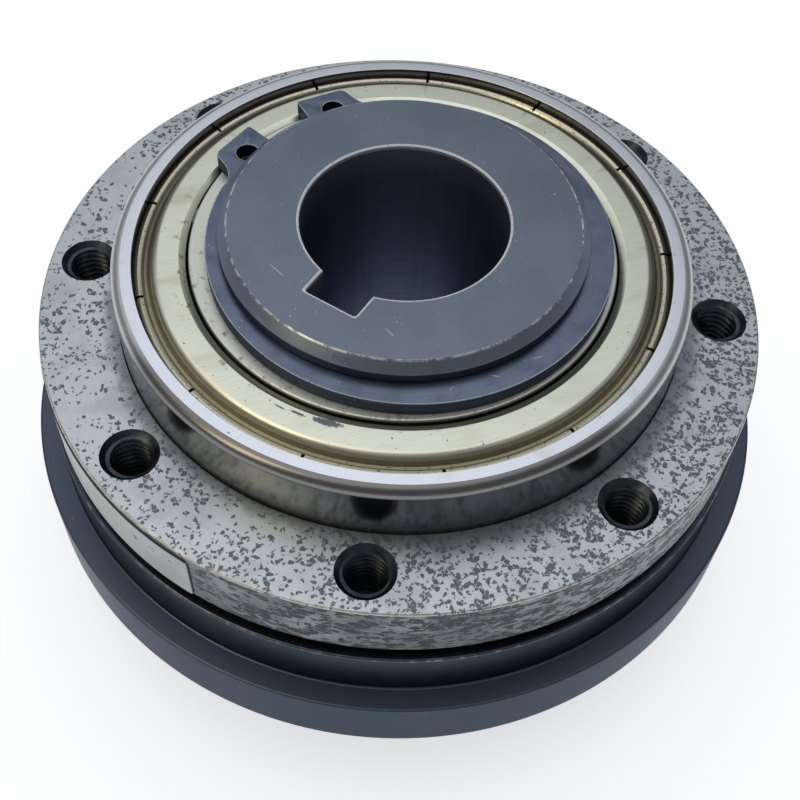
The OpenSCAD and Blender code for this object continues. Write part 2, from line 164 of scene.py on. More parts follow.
def smooth_piece(name: str, data: bpy.types.Mesh) -> bpy.types.Object:
    """Puts mesh data in the scene with smooth shading that keeps flat faces flat.

    Args:
        name: name of the piece.
        data: the mesh.

    Returns:
        The new object.
    """
    data.polygons.foreach_set("use_smooth", [True] * len(data.polygons))
    data.set_sharp_from_angle(angle=math.radians(SHARP_DEG))
    piece = put_in_scene(name, data)
    weighted = piece.modifiers.new("flat_faces", "WEIGHTED_NORMAL")
    weighted.keep_sharp = True
    return piece


def finished_piece(name: str, mesh: bmesh.types.BMesh, finishes: list["Finish"]) -> bpy.types.Object:
    """Makes a piece of a bmesh, with its finishes.

    Args:
        name: name of the piece.
        mesh: its geometry in metres, freed here.
        finishes: its finishes, by material number.

    Returns:
        The new object, in the scene.
    """
    bmesh.ops.recalc_face_normals(mesh, faces=mesh.faces)
    data = bpy.data.meshes.new(name)
    mesh.to_mesh(data)
    mesh.free()
    for finish in finishes:
        data.materials.append(material_of(finish))
    return smooth_piece(name, data)


def skin_loops(mesh: bmesh.types.BMesh, loops: list[list[Vector]], finishes: list[int],
               closed: bool) -> list[list[bmesh.types.BMVert]]:
    """Joins loops of equally many points with quads.

    Args:
        mesh: where the faces go.
        loops: closed loops of points, in millimetres.
        finishes: material number of the faces after each loop.
        closed: whether the last loop joins the first.

    Returns:
        The vertices of the loops.
    """
    rows = [[mesh.verts.new(point * MM) for point in loop] for loop in loops]
    count = len(rows[0])
    for k in range(len(rows) if closed else len(rows) - 1):
        low, high = rows[k], rows[(k + 1) % len(rows)]
        for i in range(count):
            j = (i + 1) % count
            mesh.faces.new((low[i], low[j], high[j], high[i])).material_index = finishes[k]
    return rows


def turned(name: str, corners: list[Corner], finishes: list["Finish"], steps: int = 4) -> bpy.types.Object:
    """Turns a closed outline about the clutch's axis.

    Args:
        name: name of the piece.
        corners: its outline.
        finishes: its finishes, by material number.
        steps: number of chords in each rounding.

    Returns:
        The turned piece.
    """
    outline = softened(corners, steps)
    loops = [[point_at(c.r, a, c.z) for a in even_turn(TURNED_STEPS)] for c in outline]
    mesh = bmesh.new()
    skin_loops(mesh, loops, [c.finish for c in outline], closed=True)
    return finished_piece(name, mesh, finishes)


@dataclass(frozen=True)
class Slot:
    """A straight-sided slot in a round wall: outwards from a bore as a keyway, or inwards from a rim."""

    direction_deg: float
    width: float
    floor: float
    floor_round: float = 0.35


def slotted_circle(radius: float, slots: list[Slot], z: float, grow: float = 0.0) -> list[Vector]:
    """Outline of a circle with slots, with equally many points whatever its size.

    Args:
        radius: radius of the circle.
        slots: the slots, in order round the circle.
        z: height of the outline.
        grow: how far the whole outline is moved outwards, for a chamfer.

    Returns:
        The points of the outline.
    """
    # Numbers of steps from slot to slot, down a slot's wall, round its inner corner and along its floor.
    between, side, corner, base = SLOTTED_STEPS // len(slots), 5, 5, 8
    points: list[Vector] = []
    for n, slot in enumerate(slots):
        outwards = 1.0 if slot.floor > radius else -1.0
        half = slot.width / 2 + grow * outwards
        wall, floor = radius + grow, slot.floor + grow
        mouth = math.sqrt(wall * wall - half * half)
        fillet = slot.floor_round
        upper = [(mouth + (floor - outwards * fillet - mouth) * k / side, half) for k in range(side)]
        for k in range(corner + 1):
            a = math.pi / 2 * k / corner
            upper.append((floor - outwards * fillet * (1 - math.sin(a)), half - fillet * (1 - math.cos(a))))
        upper += [(floor, (half - fillet) * (1 - 2 * k / base)) for k in range(1, base // 2)]
        local = [(x, -y) for x, y in upper] + [(floor, 0.0)] + upper[::-1]
        facing = math.radians(slot.direction_deg)
        spin = Matrix.Rotation(facing, 3, "Z")
        points += [spin @ Vector((x, y, z)) for x, y in local]
        following = slots[(n + 1) % len(slots)]
        start = facing + math.asin(half / wall)
        gap = (math.radians(following.direction_deg) - facing) % math.tau or math.tau
        end = facing + gap - math.asin((following.width / 2 + grow * outwards) / wall)
        points += [point_at(wall, start + (end - start) * k / between, z) for k in range(1, between)]
    return points


def matching_circle(outline: list[Vector], radius: float, z: float) -> list[Vector]:
    """Points of a circle in the same directions as the points of an outline."""
    return [Vector((radius * p.x, radius * p.y, 0)) / math.hypot(p.x, p.y) + Vector((0, 0, z))
            for p in outline]


def cut(piece: bpy.types.Object, cutters: list[bpy.types.Object]) -> bpy.types.Object:
    """Takes cutters away from a piece and removes them.

    Args:
        piece: the piece to cut.
        cutters: closed bodies, not touching each other.

    Returns:
        A piece of the same name with the holes.
    """
    name = piece.name
    data = bmesh.new()
    for cutter in cutters:
        data.from_mesh(cutter.data)
        bpy.data.objects.remove(cutter)
    joined = bpy.data.meshes.new("cutters")
    data.to_mesh(joined)
    data.free()
    for material in piece.data.materials:
        joined.materials.append(material)
    tool = put_in_scene("cutters", joined)
    piece.modifiers.clear()
    drill = piece.modifiers.new("holes", "BOOLEAN")
    drill.operation, drill.solver, drill.object = "DIFFERENCE", "EXACT", tool
    shaped = evaluated_mesh(piece)
    bpy.data.objects.remove(tool)
    bpy.data.objects.remove(piece)
    shaped.name = name
    return smooth_piece(name, shaped)


def capped(rows: list[list[Vector]], place: Matrix, finish: int) -> bpy.types.Object:
    """A cutter skinned over loops of points, with a flat cap at each end.

    Args:
        rows: its loops from the lower end to the upper one, in millimetres.
        place: where the cutter's own frame stands.
        finish: material number of the walls that it leaves.

    Returns:
        The cutter.
    """
    mesh = bmesh.new()
    placed = [[place @ point for point in row] for row in rows]
    skin = skin_loops(mesh, placed, [finish] * len(rows), closed=False)
    for cap in (skin[0][::-1], skin[-1]):
        mesh.faces.new(cap).material_index = finish
    return finished_piece("cutter", mesh, [])


def plug(corners: list[Corner], place: Matrix, segments: int = 48, finish: int = 0) -> bpy.types.Object:
    """A turned cutter whose outline starts and ends on its own axis.

    Args:
        corners: outline from the lower end to the upper one, without the points on the axis.
        place: where the cutter's own frame stands.
        segments: number of steps round its axis.
        finish: material number of the walls that it leaves.

    Returns:
        The cutter.
    """
    return capped([[point_at(c.r, a, c.z) for a in even_turn(segments)] for c in corners], place, finish)


def around(count: int, first_deg: float, radius: float) -> list[Matrix]:
    """Places on a circle about the clutch's axis, each turned to face outwards."""
    return [Matrix.Rotation(math.radians(first_deg + 360 * i / count), 4, "Z")
            @ Matrix.Translation((radius, 0, 0)) for i in range(count)]


def helix_depth(turn: float, z: float, pitch: float, depth: float) -> float:
    """How deep a triangular thread is cut at an angle in radians and a height, from 0 at its crest."""
    phase = (z / pitch - turn / math.tau) % 1.0
    return depth * (1 - min(1.0, abs(2 * phase - 1) / (1 - CREST_SHARE)))


def add_node(tree: bpy.types.NodeTree, kind: str, inputs: dict[str | int, object] | None = None,
             out: str | int = 0, **settings: object) -> bpy.types.NodeSocket:
    """Adds a shader node with its settings and links.

    Args:
        tree: the material's or world's nodes.
        kind: Blender's name of the node without its "ShaderNode" start.
        inputs: a value or another node's socket for each input, by name or number.
        out: the output that is wanted.
        settings: the node's own properties.

    Returns:
        The wanted output.
    """
    node = tree.nodes.new("ShaderNode" + kind)
    for key, value in settings.items():
        setattr(node, key, value)
    for key, value in (inputs or {}).items():
        if isinstance(value, bpy.types.NodeSocket):
            tree.links.new(value, node.inputs[key])
        else:
            node.inputs[key].default_value = value
    return node.outputs[out]


@dataclass(frozen=True)
class Mark:
    """A spot or scratch seen from above: its middle, half its length, half its width, and its direction."""

    x: float
    y: float
    length: float
    width: float
    turn_deg: float = 0.0


class Surface:
    """A procedural material being made, with the place, radius and height of each point in millimetres."""

    # How far one step of a pattern's seed moves it, in its own units.
    SEED_STEP = (7.1, 5.3, 9.7)

    def __init__(self, name: str, colour: str, roughness: float, metallic: float,
                 glance: str = "#ffffff") -> None:
        """Starts the material with its plain finish.

        Args:
            name: name of the real material and finish.
            colour: sRGB hex colour.
            roughness: roughness of the plain surface.
            metallic: 1 for bare metal, 0 for paint, film or oxide crust.
            glance: sRGB hex tint of what shows at a glancing angle.
        """
        self.material = bpy.data.materials.new(name)
        self.material.use_nodes = True
        self.tree = self.material.node_tree
        self.shader = next(n for n in self.tree.nodes if n.type == "BSDF_PRINCIPLED")
        self.shader.inputs["Base Color"].default_value = linear(colour)
        self.shader.inputs["Roughness"].default_value = roughness
        self.shader.inputs["Metallic"].default_value = metallic
        self.shader.inputs["Specular Tint"].default_value = linear(glance)
        self.running: dict[str, object] = {
            "Base Color": linear(colour), "Roughness": roughness, "Metallic": metallic, "Normal": None}
        metres = self.add("TexCoord", out="Object")
        self.place = self.add("VectorMath", {0: metres, 3: 1 / MM}, operation="SCALE")
        apart = self.add("SeparateXYZ", {0: self.place}, out="X").node
        self.x, self.y, self.height = (apart.outputs[k] for k in ("X", "Y", "Z"))
        flat = self.add("CombineXYZ", {0: self.x, 1: self.y})
        self.radius = self.add("VectorMath", {0: flat}, out="Value", operation="LENGTH")

    def add(self, kind: str, inputs: dict[str | int, object] | None = None, out: str | int = 0,
            **settings: object) -> bpy.types.NodeSocket:
        """Adds a node to this material, as add_node does."""
        return add_node(self.tree, kind, inputs, out, **settings)

    def grain(self, size_mm: float, stretch: tuple[float, float, float] = (1, 1, 1), detail: float = 3,
              seed: float = 0.0, turn_deg: float = 0.0) -> bpy.types.NodeSocket:
        """Soft irregular pattern, from 0 to 1 with 0.5 as its middle.

        Args:
            size_mm: size of a grain across.
            stretch: how much longer a grain is along each axis.
            detail: number of finer layers.
            seed: moves the pattern to another place.
            turn_deg: direction of the first axis, in plan.

        Returns:
            The pattern.
        """
        moved = self.scaled(size_mm, stretch, seed, turn_deg)
        return self.add("TexNoise", {"Vector": moved, "Scale": 1.0, "Detail": detail, "Roughness": 0.55})

    def patches(self, size_mm: float, low: float, high: float,
                stretch: tuple[float, float, float] = (1, 1, 1), detail: float = 3, seed: float = 0.0,
                turn_deg: float = 0.0) -> bpy.types.NodeSocket:
        """Mask of irregular patches, where soft grain rises from one value to another.

        Args:
            size_mm: size of a grain across.
            low: value of the grain at which a patch begins.
            high: value at which it is full.
            stretch: how much longer a grain is along each axis.
            detail: number of finer layers.
            seed: moves the pattern to another place.
            turn_deg: direction of the first axis, in plan.

        Returns:
            The mask.
        """
        return self.share(self.grain(size_mm, stretch, detail, seed, turn_deg), low, high)

    def scaled(self, size_mm: float, stretch: tuple[float, float, float], seed: float,
               turn_deg: float = 0.0) -> bpy.types.NodeSocket:
        """Place in units of a pattern's own size.

        Args:
            size_mm: what becomes 1.
            stretch: how much longer it is along each axis.
            seed: moves the pattern to another place.
            turn_deg: direction of the first axis, in plan.

        Returns:
            The scaled place.
        """
        return self.add("Mapping", {"Vector": self.place, "Scale": tuple(size_mm * s for s in stretch),
                                    "Location": tuple(seed * step for step in self.SEED_STEP),
                                    "Rotation": (0, 0, math.radians(turn_deg))}, vector_type="TEXTURE")

    def flakes(self, size_mm: float, cover: float, stretch: tuple[float, float, float],
               seed: float) -> bpy.types.NodeSocket:
        """Mask of angular flakes, which are picked cells of a broken pattern.

        Args:
            size_mm: width of a cell.
            cover: share of the cells that are flakes.
            stretch: how much longer a cell is along each axis.
            seed: moves the pattern to another place.

        Returns:
            The mask.
        """
        moved = self.scaled(size_mm, stretch, seed)
        # Noise a cell and a half deep bends the cells, so that no two flakes have the same outline.
        bend = self.add("TexNoise", {"Vector": moved, "Scale": 0.7, "Detail": 2.0}, out="Color")
        moved = self.add("VectorMath", {0: bend, 1: (1.5, 1.5, 1.5), 2: moved}, operation="MULTIPLY_ADD")
        cells = {"Vector": moved, "Scale": 1.0, "Randomness": 1.0}
        pick = self.add("SeparateXYZ", {0: self.add("TexVoronoi", cells, out="Color")}, out="X")
        rift = self.add("TexVoronoi", cells, feature="DISTANCE_TO_EDGE")
        apart = self.add("Math", {0: rift, 1: 0.05}, operation="GREATER_THAN")
        # The skin has broken most in areas sixteen flakes wide, and on the side towards +X.
        wide = self.grain(size_mm * 16, detail=3, seed=seed + 1)
        area = self.add("Math", {0: wide, 1: 0.9, 2: cover - 0.45}, operation="MULTIPLY_ADD")
        side = self.share(self.x, -15.0, 30.0)
        area = self.add("Math", {0: side, 1: 0.12, 2: area}, operation="MULTIPLY_ADD")
        return self.overlap(self.add("Math", {0: pick, 1: area}, operation="LESS_THAN"), apart)

    def share(self, pattern: bpy.types.NodeSocket, low: float, high: float) -> bpy.types.NodeSocket:
        """Smooth mask that rises from 0 to 1 as a pattern goes from low to high."""
        return self.add("MapRange", {"Value": pattern, "From Min": low, "From Max": high},
                        interpolation_type="SMOOTHSTEP")

    def turning(self, spacing_mm: float, seed: float = 0.0) -> bpy.types.NodeSocket:
        """Fine circular tool lines, on faces and walls alike.

        Args:
            spacing_mm: width of a line.
            seed: moves the pattern to another place.

        Returns:
            The pattern, with 0.5 as its middle.
        """
        along = self.add("Math", {0: self.radius, 1: self.height}, operation="SUBTRACT")
        step = self.add("Math", {0: along, 1: 1 / spacing_mm, 2: seed}, operation="MULTIPLY_ADD")
        return self.add("TexNoise", {"W": step, "Scale": 1.0, "Detail": 2.0}, noise_dimensions="1D")

    def near(self, value: bpy.types.NodeSocket, at: float, reach: float) -> bpy.types.NodeSocket:
        """Mask of a band where a radius or height is close to a figure.

        Args:
            value: the radius, height or other measure, in millimetres.
            at: middle of the band.
            reach: half of its width, over which it fades.

        Returns:
            The mask.
        """
        off = self.add("Math", {0: value, 1: at}, operation="SUBTRACT")
        size = self.add("Math", {0: off}, operation="ABSOLUTE")
        return self.share(size, reach, reach * 0.35)

    def blot(self, mark: Mark, ragged: float = 0.5) -> bpy.types.NodeSocket:
        """Mask of a ragged spot or scratch.

        Args:
            mark: its place and size.
            ragged: how far its edge wanders, as a share of its size.

        Returns:
            The mask.
        """
        flat = self.add("CombineXYZ", {0: self.x, 1: self.y})
        moved = self.add("Mapping", {"Vector": flat, "Location": (mark.x, mark.y, 0),
                                     "Scale": (mark.length, mark.width, 1),
                                     "Rotation": (0, 0, math.radians(mark.turn_deg))}, vector_type="TEXTURE")
        far = self.add("VectorMath", {0: moved}, out="Value", operation="LENGTH")
        grain = self.grain(min(mark.length, mark.width) * 0.8, detail=4, seed=mark.x + mark.y)
        wander = self.add("Math", {0: grain, 1: -0.5}, operation="ADD")
        edge = self.add("Math", {0: wander, 1: 3.0 * ragged, 2: far}, operation="MULTIPLY_ADD")
        return self.share(edge, 1.05, 0.75)

    def towards(self, x: float, y: float) -> bpy.types.NodeSocket:
        """How far a point lies in a direction in plan, in millimetres times the direction's length."""
        return self.add("VectorMath", {0: self.place, 1: (x, y, 0)}, out="Value", operation="DOT_PRODUCT")

    def overlap(self, *masks: bpy.types.NodeSocket | float) -> bpy.types.NodeSocket:
        """Mask that is white only where all masks are, weakened by a number among them.

        Args:
            masks: the masks and numbers.

        Returns:
            Their product.
        """
        whole = masks[0]
        for mask in masks[1:]:
            whole = self.add("Math", {0: whole, 1: mask}, operation="MULTIPLY")
        return whole

    def lay(self, mask: bpy.types.NodeSocket, colour: str | None = None,
            roughness: float | None = None, metallic: float | None = None) -> None:
        """Lays another finish over the surface where a mask is white.

        Args:
            mask: where it lies.
            colour: its sRGB hex colour.
            roughness: its roughness.
            metallic: its metallic value.
        """
        if colour is not None:
            self.running["Base Color"] = self.add(
                "Mix", {0: mask, 6: self.running["Base Color"], 7: linear(colour)}, out=2, data_type="RGBA")
        for key, value in (("Roughness", roughness), ("Metallic", metallic)):
            if value is not None:
                levels = {0: mask, 2: self.running[key], 3: value}
                self.running[key] = self.add("Mix", levels, data_type="FLOAT")

    def relief(self, pattern: bpy.types.NodeSocket, depth_mm: float, strength: float = 1.0) -> None:
        """Raises the surface by a pattern.

        Args:
            pattern: height from 0 to 1.
            depth_mm: height of a 1.
            strength: share of the effect on the light.
        """
        inputs: dict[str, object] = {"Height": pattern, "Distance": depth_mm * MM, "Strength": strength}
        if self.running["Normal"] is not None:
            inputs["Normal"] = self.running["Normal"]
        self.running["Normal"] = self.add("Bump", inputs)

    def done(self) -> bpy.types.Material:
        """Links what was laid to the shader.

        Returns:
            The material.
        """
        for key, value in self.running.items():
            if isinstance(value, bpy.types.NodeSocket):
                self.tree.links.new(value, self.shader.inputs[key])
        return self.material


class Finish:
    """A real material with the way its surface was made."""

    def make(self) -> bpy.types.Material:
        """Builds the material's nodes, as each finish does for itself."""
        raise NotImplementedError


@cache
def material_of(finish: Finish) -> bpy.types.Material:
    """The material of a finish, made once however many pieces take it."""
    return finish.make()


@dataclass(frozen=True)
class BlackedHub(Finish):
    """Black oxide on turned and ground steel: a slate sheen with fine tool circles, rubbed at the edges."""

    colour: str = "#7a8493"
    shade: str = "#687180"
    line: str = "#8b94a3"
    wall: str = "#4d5462"
    worn: str = "#cfd4da"
    edge_radii: tuple[float, ...] = (18.55,)
    edge_height: float = 47.0
    bevel_foot: float = 45.95
    bevel_r: float = 18.85
    # A long scratch to the left of the keyway, and a short one across the face.
    scratches: tuple[Mark, ...] = (Mark(-6.9, -13.2, 1.25, 0.035, -13), Mark(6.9, -13.6, 0.7, 0.03, -20))

    def make(self) -> bpy.types.Material:
        """Builds the material's nodes.

        Returns:
            The material.
        """
        s = Surface("black_oxide_turned_steel", self.colour, 0.40, 1.0, OXIDE_GLANCE)
        s.lay(s.overlap(s.patches(7.0, 0.42, 0.66, detail=4), 0.35), self.shade)
        # Tool circles are about 0.05 mm apart on the real face; 0.16 mm is the finest that shows.
        lines = s.turning(0.16)
        s.lay(s.overlap(s.share(lines, 0.50, 0.72), 0.12), self.line)
        s.relief(lines, 0.0008)
        s.relief(s.grain(0.12, detail=2), 0.0012)
        specks = s.patches(0.26, 0.735, 0.765, detail=1, seed=5.0)
        s.lay(s.overlap(specks, s.patches(5.0, 0.46, 0.60, seed=9.0)), self.worn, 0.35)
        # Painted shade: below its bevel the outside is darker, for the upright walls that take less light.
        below = s.share(s.height, self.bevel_foot + 0.03, self.bevel_foot - 0.03)
        beside = s.share(s.radius, self.bevel_r - 0.05, self.bevel_r + 0.05)
        s.lay(s.overlap(below, beside), self.wall)
        for radius in self.edge_radii:
            rim = s.overlap(s.near(s.radius, radius, 0.14), s.near(s.height, self.edge_height, 0.25))
            s.lay(s.overlap(rim, s.patches(0.8, 0.42, 0.60, detail=5, seed=2.0)), self.worn, 0.36)
        for scratch in self.scratches:
            s.lay(s.blot(scratch, 0.25), self.worn, 0.3)
        return s.done()


@dataclass(frozen=True)
class WornEdgeHighlight(Finish):
    """Corner of a blacked part where handling has rubbed the oxide through to the steel, painted pale so that
    it is also a painted highlight along the edge.
    """

    bare: str = "#f8fafc"
    oxide: str = "#8f969f"

    def make(self) -> bpy.types.Material:
        """Builds the material's nodes.

        Returns:
            The material.
        """
        # The burnished lip is narrow and uneven; it is pale and not metallic, so that it shows as a bright
        # line from every side: bare steel with a painted highlight.
        s = Surface("rubbed_steel_edge_painted_highlight", self.bare, 0.42, 0.0)
        s.lay(s.patches(0.55, 0.57, 0.70, detail=4, seed=4.0), self.oxide, 0.42, 0.8)
        s.relief(s.grain(0.2, detail=3), 0.01)
        return s.done()


@dataclass(frozen=True)
class BlackedBore(Finish):
    """Honed bore under black oxide: near black, smooth enough to mirror the far wall, with faint rings."""

    colour: str = "#5c6880"
    ring: str = "#838b99"
    hone: str = "#455066"
    mouth_light: str = "#8b8d88"
    rubbed: str = "#b4bac2"
    rubbed_from: float = 46.50
    mouth: tuple[float, float] = (42.0, 45.8)

    def make(self) -> bpy.types.Material:
        """Builds the material's nodes.

        Returns:
            The material.
        """
        s = Surface("black_oxide_honed_bore", self.colour, 0.38, 0.75, OXIDE_GLANCE)
        rings = s.turning(0.45, seed=3.0)
        s.lay(s.overlap(s.share(rings, 0.52, 0.70), 0.18), self.ring, 0.38)
        # Broach and hone marks along the bore.
        s.lay(s.overlap(s.patches(1.6, 0.42, 0.66, (1, 1, 40), 2, 7.0), 0.4), self.hone, 0.42)
        # Painted light: the wall below the mouth is paler and browner than the rest, where light comes in at
        # the mouth; the mouth itself is rubbed grey.
        s.lay(s.overlap(s.share(s.height, *self.mouth), 0.55), self.mouth_light)
        s.lay(s.share(s.height, self.rubbed_from - 0.04, self.rubbed_from + 0.04), self.rubbed, 0.5, 0.5)
        s.relief(rings, 0.0015)
        return s.done()


@dataclass(frozen=True)
class PhosphatedSpring(Finish):
    """Spring steel punched from strip, hardened and phosphated: blue-black, scuffed bright by the pliers."""

    colour: str = "#6e788c"
    shade: str = "#596275"
    shaded_side: str = "#3a414e"
    line: str = "#8a94a6"
    bare: str = "#b9bec6"
    face: float = 44.69
    foot: float = 42.95
    # Scuffs along the snap ring's front right and at its left lug.
    scuffs: tuple[Mark, ...] = (Mark(17.4, -10.9, 0.5, 0.06, 20), Mark(14.6, -14.6, 0.4, 0.05, 80),
                                Mark(19.7, -6.6, 0.6, 0.06, 50), Mark(-21.3, 4.6, 0.7, 0.08, 30))

    def make(self) -> bpy.types.Material:
        """Builds the material's nodes.

        Returns:
            The material.
        """
        s = Surface("phosphated_spring_steel", self.colour, 0.34, 1.0, OXIDE_GLANCE)
        s.lay(s.overlap(s.patches(3.0, 0.40, 0.70, detail=3), 0.7), self.shade)
        # Painted shade: the punched side is darker than the tumbled face, for the upright wall that takes
        # less light.
        side = s.overlap(s.share(s.height, self.face + 0.03, self.face - 0.03),
                         s.share(s.height, self.foot - 0.05, self.foot + 0.05))
        s.lay(side, self.shaded_side, 0.40)
        s.relief(s.grain(0.15, detail=2), 0.002)
        # Fine circles of 0.02 mm, drawn at 0.10 mm.
        s.lay(s.overlap(s.share(s.turning(0.10, seed=8.0), 0.50, 0.7), 0.25), self.line)
        for scuff in self.scuffs:
            s.lay(s.overlap(s.blot(scuff, 0.45), 0.6), self.bare, 0.28)
        s.lay(s.patches(0.24, 0.765, 0.795, detail=1, seed=3.0), self.bare, 0.35)
        return s.done()


@dataclass(frozen=True)
class GroundRace(Finish):
    """Through-hardened bearing steel, ground: bluish white with hair-fine circles."""

    colour: str = "#dfe5ee"
    line: str = "#b4bcc6"
    smear: str = "#c9ccc8"
    pit: str = "#8d8f8c"

    def make(self) -> bpy.types.Material:
        """Builds the material's nodes.

        Returns:
            The material.
        """
        s = Surface("ground_bearing_steel", self.colour, 0.24, 1.0)
        # Grinding lines of about 0.02 mm, drawn at 0.10 mm.
        lines = s.turning(0.10)
        s.lay(s.overlap(s.share(lines, 0.46, 0.72), 0.35), self.line)
        s.relief(lines, 0.0008)
        s.lay(s.overlap(s.patches(4.0, 0.55, 0.72, detail=4, seed=1.0), 0.4), self.smear, 0.32)
        s.lay(s.patches(0.5, 0.74, 0.78, detail=2, seed=6.0), self.pit, 0.4)
        return s.done()


@dataclass(frozen=True)
class InnerRace(Finish):
    """Ground bearing steel seen beside the shield, under a pale oil film with olive stains at the front."""

    colour: str = "#eceee4"
    line: str = "#cfd0c3"
    stain: str = "#a5a390"
    hole_shade: str = "#1f1f1e"
    corner: str = "#77776e"
    corner_r: float = 22.71
    lug_holes_r: float = 20.95
    lug_holes_deg: tuple[float, float] = (145.4, 178.4)
    hole_shade_r: float = 1.35

    def make(self) -> bpy.types.Material:
        """Builds the material's nodes.

        Returns:
            The material.
        """
        s = Surface("oiled_bearing_steel", self.colour, 0.42, 0.6)
        # Grinding lines of about 0.02 mm, drawn at 0.10 mm.
        lines = s.turning(0.10)
        s.lay(s.overlap(s.share(lines, 0.46, 0.72), 0.4), self.line)
        s.relief(lines, 0.0008)
        front = s.share(s.y, -8.0, -16.0)
        s.lay(s.overlap(front, s.patches(0.8, 0.54, 0.72, detail=5, seed=8.0)), self.stain, 0.55, 0.5)
        # Painted shade: black spots on the race under the holes in the snap ring's lugs, where the holes look
        # dark.
        for turn_deg in self.lug_holes_deg:
            hole = point_at(self.lug_holes_r, math.radians(turn_deg))
            s.lay(s.blot(Mark(hole.x, hole.y, self.hole_shade_r, self.hole_shade_r), 0.1), self.hole_shade, 0.6, 0.2)
        # The ring's rounded corner wasn't ground with its face and is duller.
        s.lay(s.share(s.radius, self.corner_r - 0.05, self.corner_r + 0.05), self.corner, 0.40, 1.0)
        return s.done()


@dataclass(frozen=True)
class PolishedRace(Finish):
    """Outside of the bearing, ground and polished: a dark mirror of its surroundings, painted darker as
    shade, and darker at its foot.
    """

    colour: str = "#868a90"
    smear: str = "#74716b"
    shadow: str = "#4e4b47"
    left_shade: str = "#55585c"
    corner: str = "#7c7b7b"
    paler: str = "#b9bebe"
    foot_dark: str = "#2a2927"
    foot: float = 35.75
    wall_r: float = 30.975
    corner_r: float = 29.45

    def make(self) -> bpy.types.Material:
        """Builds the material's nodes.

        Returns:
            The material.
        """
        # Painted shade: the colour is darker than the ground face's, for the upright outside.
        s = Surface("polished_bearing_steel", self.colour, 0.19, 1.0)
        # Polishing lines of about 0.02 mm, drawn at 0.12 mm.
        s.relief(s.turning(0.12), 0.0006)
        s.lay(s.overlap(s.patches(2.2, 0.46, 0.66, (1, 1, 6), 3), 0.25), self.smear, 0.22)
        s.lay(s.overlap(s.share(s.height, self.foot + 2.8, self.foot), 0.7), self.shadow, 0.26)
        # Painted shade: a grey tone darkens the left of the ring.
        s.lay(s.overlap(s.share(s.x, 13.0, -3.0), 0.6), self.left_shade, 0.22)
        # The turned corner was never ground, and is paler everywhere but at the front.
        inside_wall = s.share(s.radius, self.wall_r + 0.01, self.wall_r - 0.01)
        s.lay(inside_wall, self.corner, 0.26)
        far = s.share(s.towards(*FRONT), 21.0, 16.0)
        outside_face = s.share(s.radius, self.corner_r - 0.05, self.corner_r + 0.05)
        s.lay(s.overlap(far, outside_face, inside_wall), self.paler, 0.34)
        # Darker in a ragged band just above the foot.
        foot_dark = s.share(s.height, self.foot + 1.2, self.foot + 0.3)
        s.lay(s.overlap(foot_dark, s.patches(0.9, 0.26, 0.50, detail=4, seed=4.0)), self.foot_dark, 0.6, 0.3)
        return s.done()


